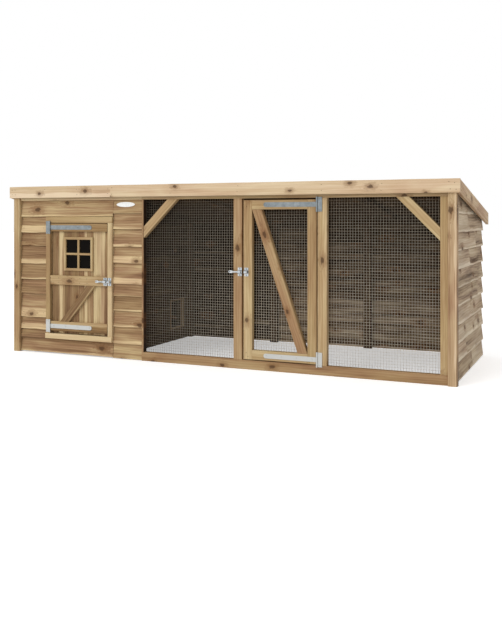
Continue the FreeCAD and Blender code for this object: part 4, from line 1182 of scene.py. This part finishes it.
# %% [markdown]
# ## Nails
# Boards are nailed to their studs, the trim to the posts and the door boards to their ledges.
# A modelled shank would never be seen, so each nail is a head, a low cone of a few faces.

# %% Nails
SLACK = 0.4 * MM
HEAD_T = 1.2 * MM
TRIM_NAIL = 1.6 * MM
# Boards are cut off at the roof, so nails nearer to it than this are left out
ROOF_CLEAR = 30 * MM
FASCIA_DOWN = (16 * MM, 44 * MM)
BARGE_DOWN = (18 * MM, 44 * MM)
LEDGE_UP = (13 * MM, 35 * MM)
STILE_IN = 20 * MM
STILE_UP = (13 * MM, 31 * MM)
FASCIA_NAILS = (-1.165, -1.150, -0.95, -0.75, -0.56, -0.535, -0.2, 0.16, 0.575, 0.85, 1.14, 1.165)
BARGE_NAILS = (-0.408, -0.13, 0.13, 0.40)
LEDGE_NAILS = (-0.925, -0.875, -0.80, -0.745, -0.70)


def nail(bm, place, direction, radius=1.8 * MM):
    """A flat nail head on a face that looks along a direction."""
    turn = Vector((0, 0, 1)).rotation_difference(Vector(direction)).to_matrix().to_4x4()
    bmesh.ops.create_cone(bm, cap_ends=True, segments=8, radius1=radius, radius2=0.8 * radius, depth=HEAD_T,
                          matrix=Matrix.Translation(Vector(place)) @ turn)


def stray(most):
    """A nail is never quite where it was meant to be, by up to so many millimetres."""
    return rng.uniform(-most, most) * MM


fixed = bmesh.new()
for spot, way in NAILS:
    if spot.z < roof_under(spot.y) - ROOF_CLEAR:
        nail(fixed, spot, way)
for x in FASCIA_NAILS:
    for down in FASCIA_DOWN:
        nail(fixed, (x + stray(4), FRONT - SLACK, FRONT_HEIGHT - down + stray(3)), (0, -1, 0), TRIM_NAIL)
for side in (-1, 1):
    for y in BARGE_NAILS:
        for down in BARGE_DOWN:
            z = FRONT_HEIGHT - ROOF_FALL * (y - FRONT) - down
            nail(fixed, (side * (cad_high.x + SLACK), y, z), (side, 0, 0), TRIM_NAIL)
piece("nails_frame", fixed, NAIL_STEEL, "zinc_hardware", "enclosure")
swung = bmesh.new()
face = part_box("house_door_ledges")[0].y - SLACK
for x in LEDGE_NAILS:
    for up in LEDGE_UP:
        nail(swung, (x + stray(4), face, brace_high.z + up), (0, -1, 0))
piece("nails_house_door", swung, NAIL_STEEL, "zinc_hardware", "house_door")
swung = bmesh.new()
low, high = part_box("run_door_stiles")
for z in (low.z + STILE_UP[0], low.z + STILE_UP[1], high.z - STILE_UP[1], high.z - STILE_UP[0]):
    nail(swung, (low.x + STILE_IN + stray(6), low.y - SLACK, z), (0, -1, 0))
piece("nails_run_door", swung, NAIL_STEEL, "zinc_hardware", "run_door")
print("nails:", len(NAILS), "on boards, the rest on trim and doors")

# %% [markdown]
# ## Clout nails
# Felt is held by short nails with wide flat heads, in rows along the edges and the laps.
# They use the same low cone as the other nails, only wider and turned to the roof's slope.

# %% Clout nails
CLOUT_R = 4 * MM
CLOUT_END = 20 * MM
CLOUT_EDGE = 12 * MM
CLOUT_EAVES = 15 * MM
CLOUT_UP = 3.4 * MM
CLOUTS = 30
clouts = bmesh.new()
lap_edge = felt_low.y + FELT_LAP - CLOUT_EDGE
for y in (felt_low.y + CLOUT_EAVES, lap_edge + strip_w, lap_edge + 2 * strip_w, felt_high.y - CLOUT_EDGE):
    for i in range(CLOUTS + 1):
        x = felt_low.x + CLOUT_END + i * (felt_high.x - felt_low.x - 2 * CLOUT_END) / CLOUTS
        z = DECK_TOP + CLOUT_UP - ROOF_FALL * (y - FRONT)
        nail(clouts, (x, y, z), (0, ROOF_FALL, 1), CLOUT_R)
piece("nails_felt", clouts, ZINC, "zinc_hardware", "enclosure")
print("clouts:", 4 * (CLOUTS + 1))

# %% [markdown]
# ## Floor and sky
# The object stands on a pale floor that melts into a white background and keeps only its shadow.
# More light would bleach the timber, so only what the camera, a mirror or glass sees directly is lifted
# to white.

# %% Floor and sky
FLOOR_GREY = 0.88
FLOOR_LIFT = 0.43
SKY_LIGHT = 0.75
WHITE = (1.0, 1.0, 1.0, 1.0)


def seen_directly(tree):
    """1 for rays from the camera, off metal and through glass, 0 for light that bounces about."""
    path = add_node(tree, "LightPath")
    seen = path["Is Camera Ray"]
    for ray in ("Is Glossy Ray", "Is Transmission Ray"):
        seen = add_node(tree, "Math", {0: seen, 1: path[ray]}, operation="MAXIMUM")[0]
    return seen


scene = bpy.context.scene
floor_bm = bmesh.new()
bmesh.ops.create_grid(floor_bm, x_segments=1, y_segments=1, size=30.0)
floor_mesh = bpy.data.meshes.new("floor")
floor_bm.to_mesh(floor_mesh)
floor_bm.free()
floor = bpy.data.objects.new("floor", floor_mesh)
scene.collection.objects.link(floor)
# Painted studio floor: pale, even and matt
material, tree, shader = new_material("pale_floor")
lift = add_node(tree, "Math", {0: seen_directly(tree), 1: FLOOR_LIFT}, operation="MULTIPLY")[0]
plug(shader, {"Base Color": (FLOOR_GREY, FLOOR_GREY, FLOOR_GREY, 1.0), "Roughness": 0.9,
              "Specular IOR Level": 0.1, "Emission Color": WHITE, "Emission Strength": lift})
floor_mesh.materials.append(material)

world = bpy.data.worlds.new("studio")
scene.world = world
world.use_nodes = True
tree = world.node_tree
level = add_node(tree, "MapRange", {0: seen_directly(tree), 3: SKY_LIGHT, 4: 1.0})[0]
plug(tree.nodes["Background"], {"Color": WHITE, "Strength": level})
print("floor and sky ready")

# %% [markdown]
# ## Light and camera
# One large soft lamp stands at the left front, as a window would, and the camera at the photograph's angle.
# A small lamp would throw hard shadows that the photograph doesn't have, so the sun is 40 degrees wide.

# %% Light and camera
key = bpy.data.lights.new("key", "SUN")
key.energy = 1.25
key.angle = math.radians(40)
lamp = bpy.data.objects.new("key", key)
lamp.location = (-2.2, -4.6, 3.0)
aim = Vector((0.1, 0.0, 0.3)) - lamp.location
lamp.rotation_euler = aim.to_track_quat("-Z", "Y").to_euler()
scene.collection.objects.link(lamp)
# Metal mirrors the white room and floor, without a patch of sun on it
lamp.visible_glossy = False

# Lens, place and turn come from a fit over the corners of the front
camera = bpy.data.cameras.new("camera")
camera.lens = 45.31
camera.sensor_width = 36.0
camera.shift_y = -0.159
eye_obj = bpy.data.objects.new("camera", camera)
eye_obj.location = (1.747, -3.884, 0.7075)
eye_obj.rotation_euler = (math.radians(90), 0.0, math.radians(23.79))
scene.collection.objects.link(eye_obj)
scene.camera = eye_obj
scene.view_settings.view_transform = "Standard"
print("camera at", [round(c, 2) for c in eye_obj.location])
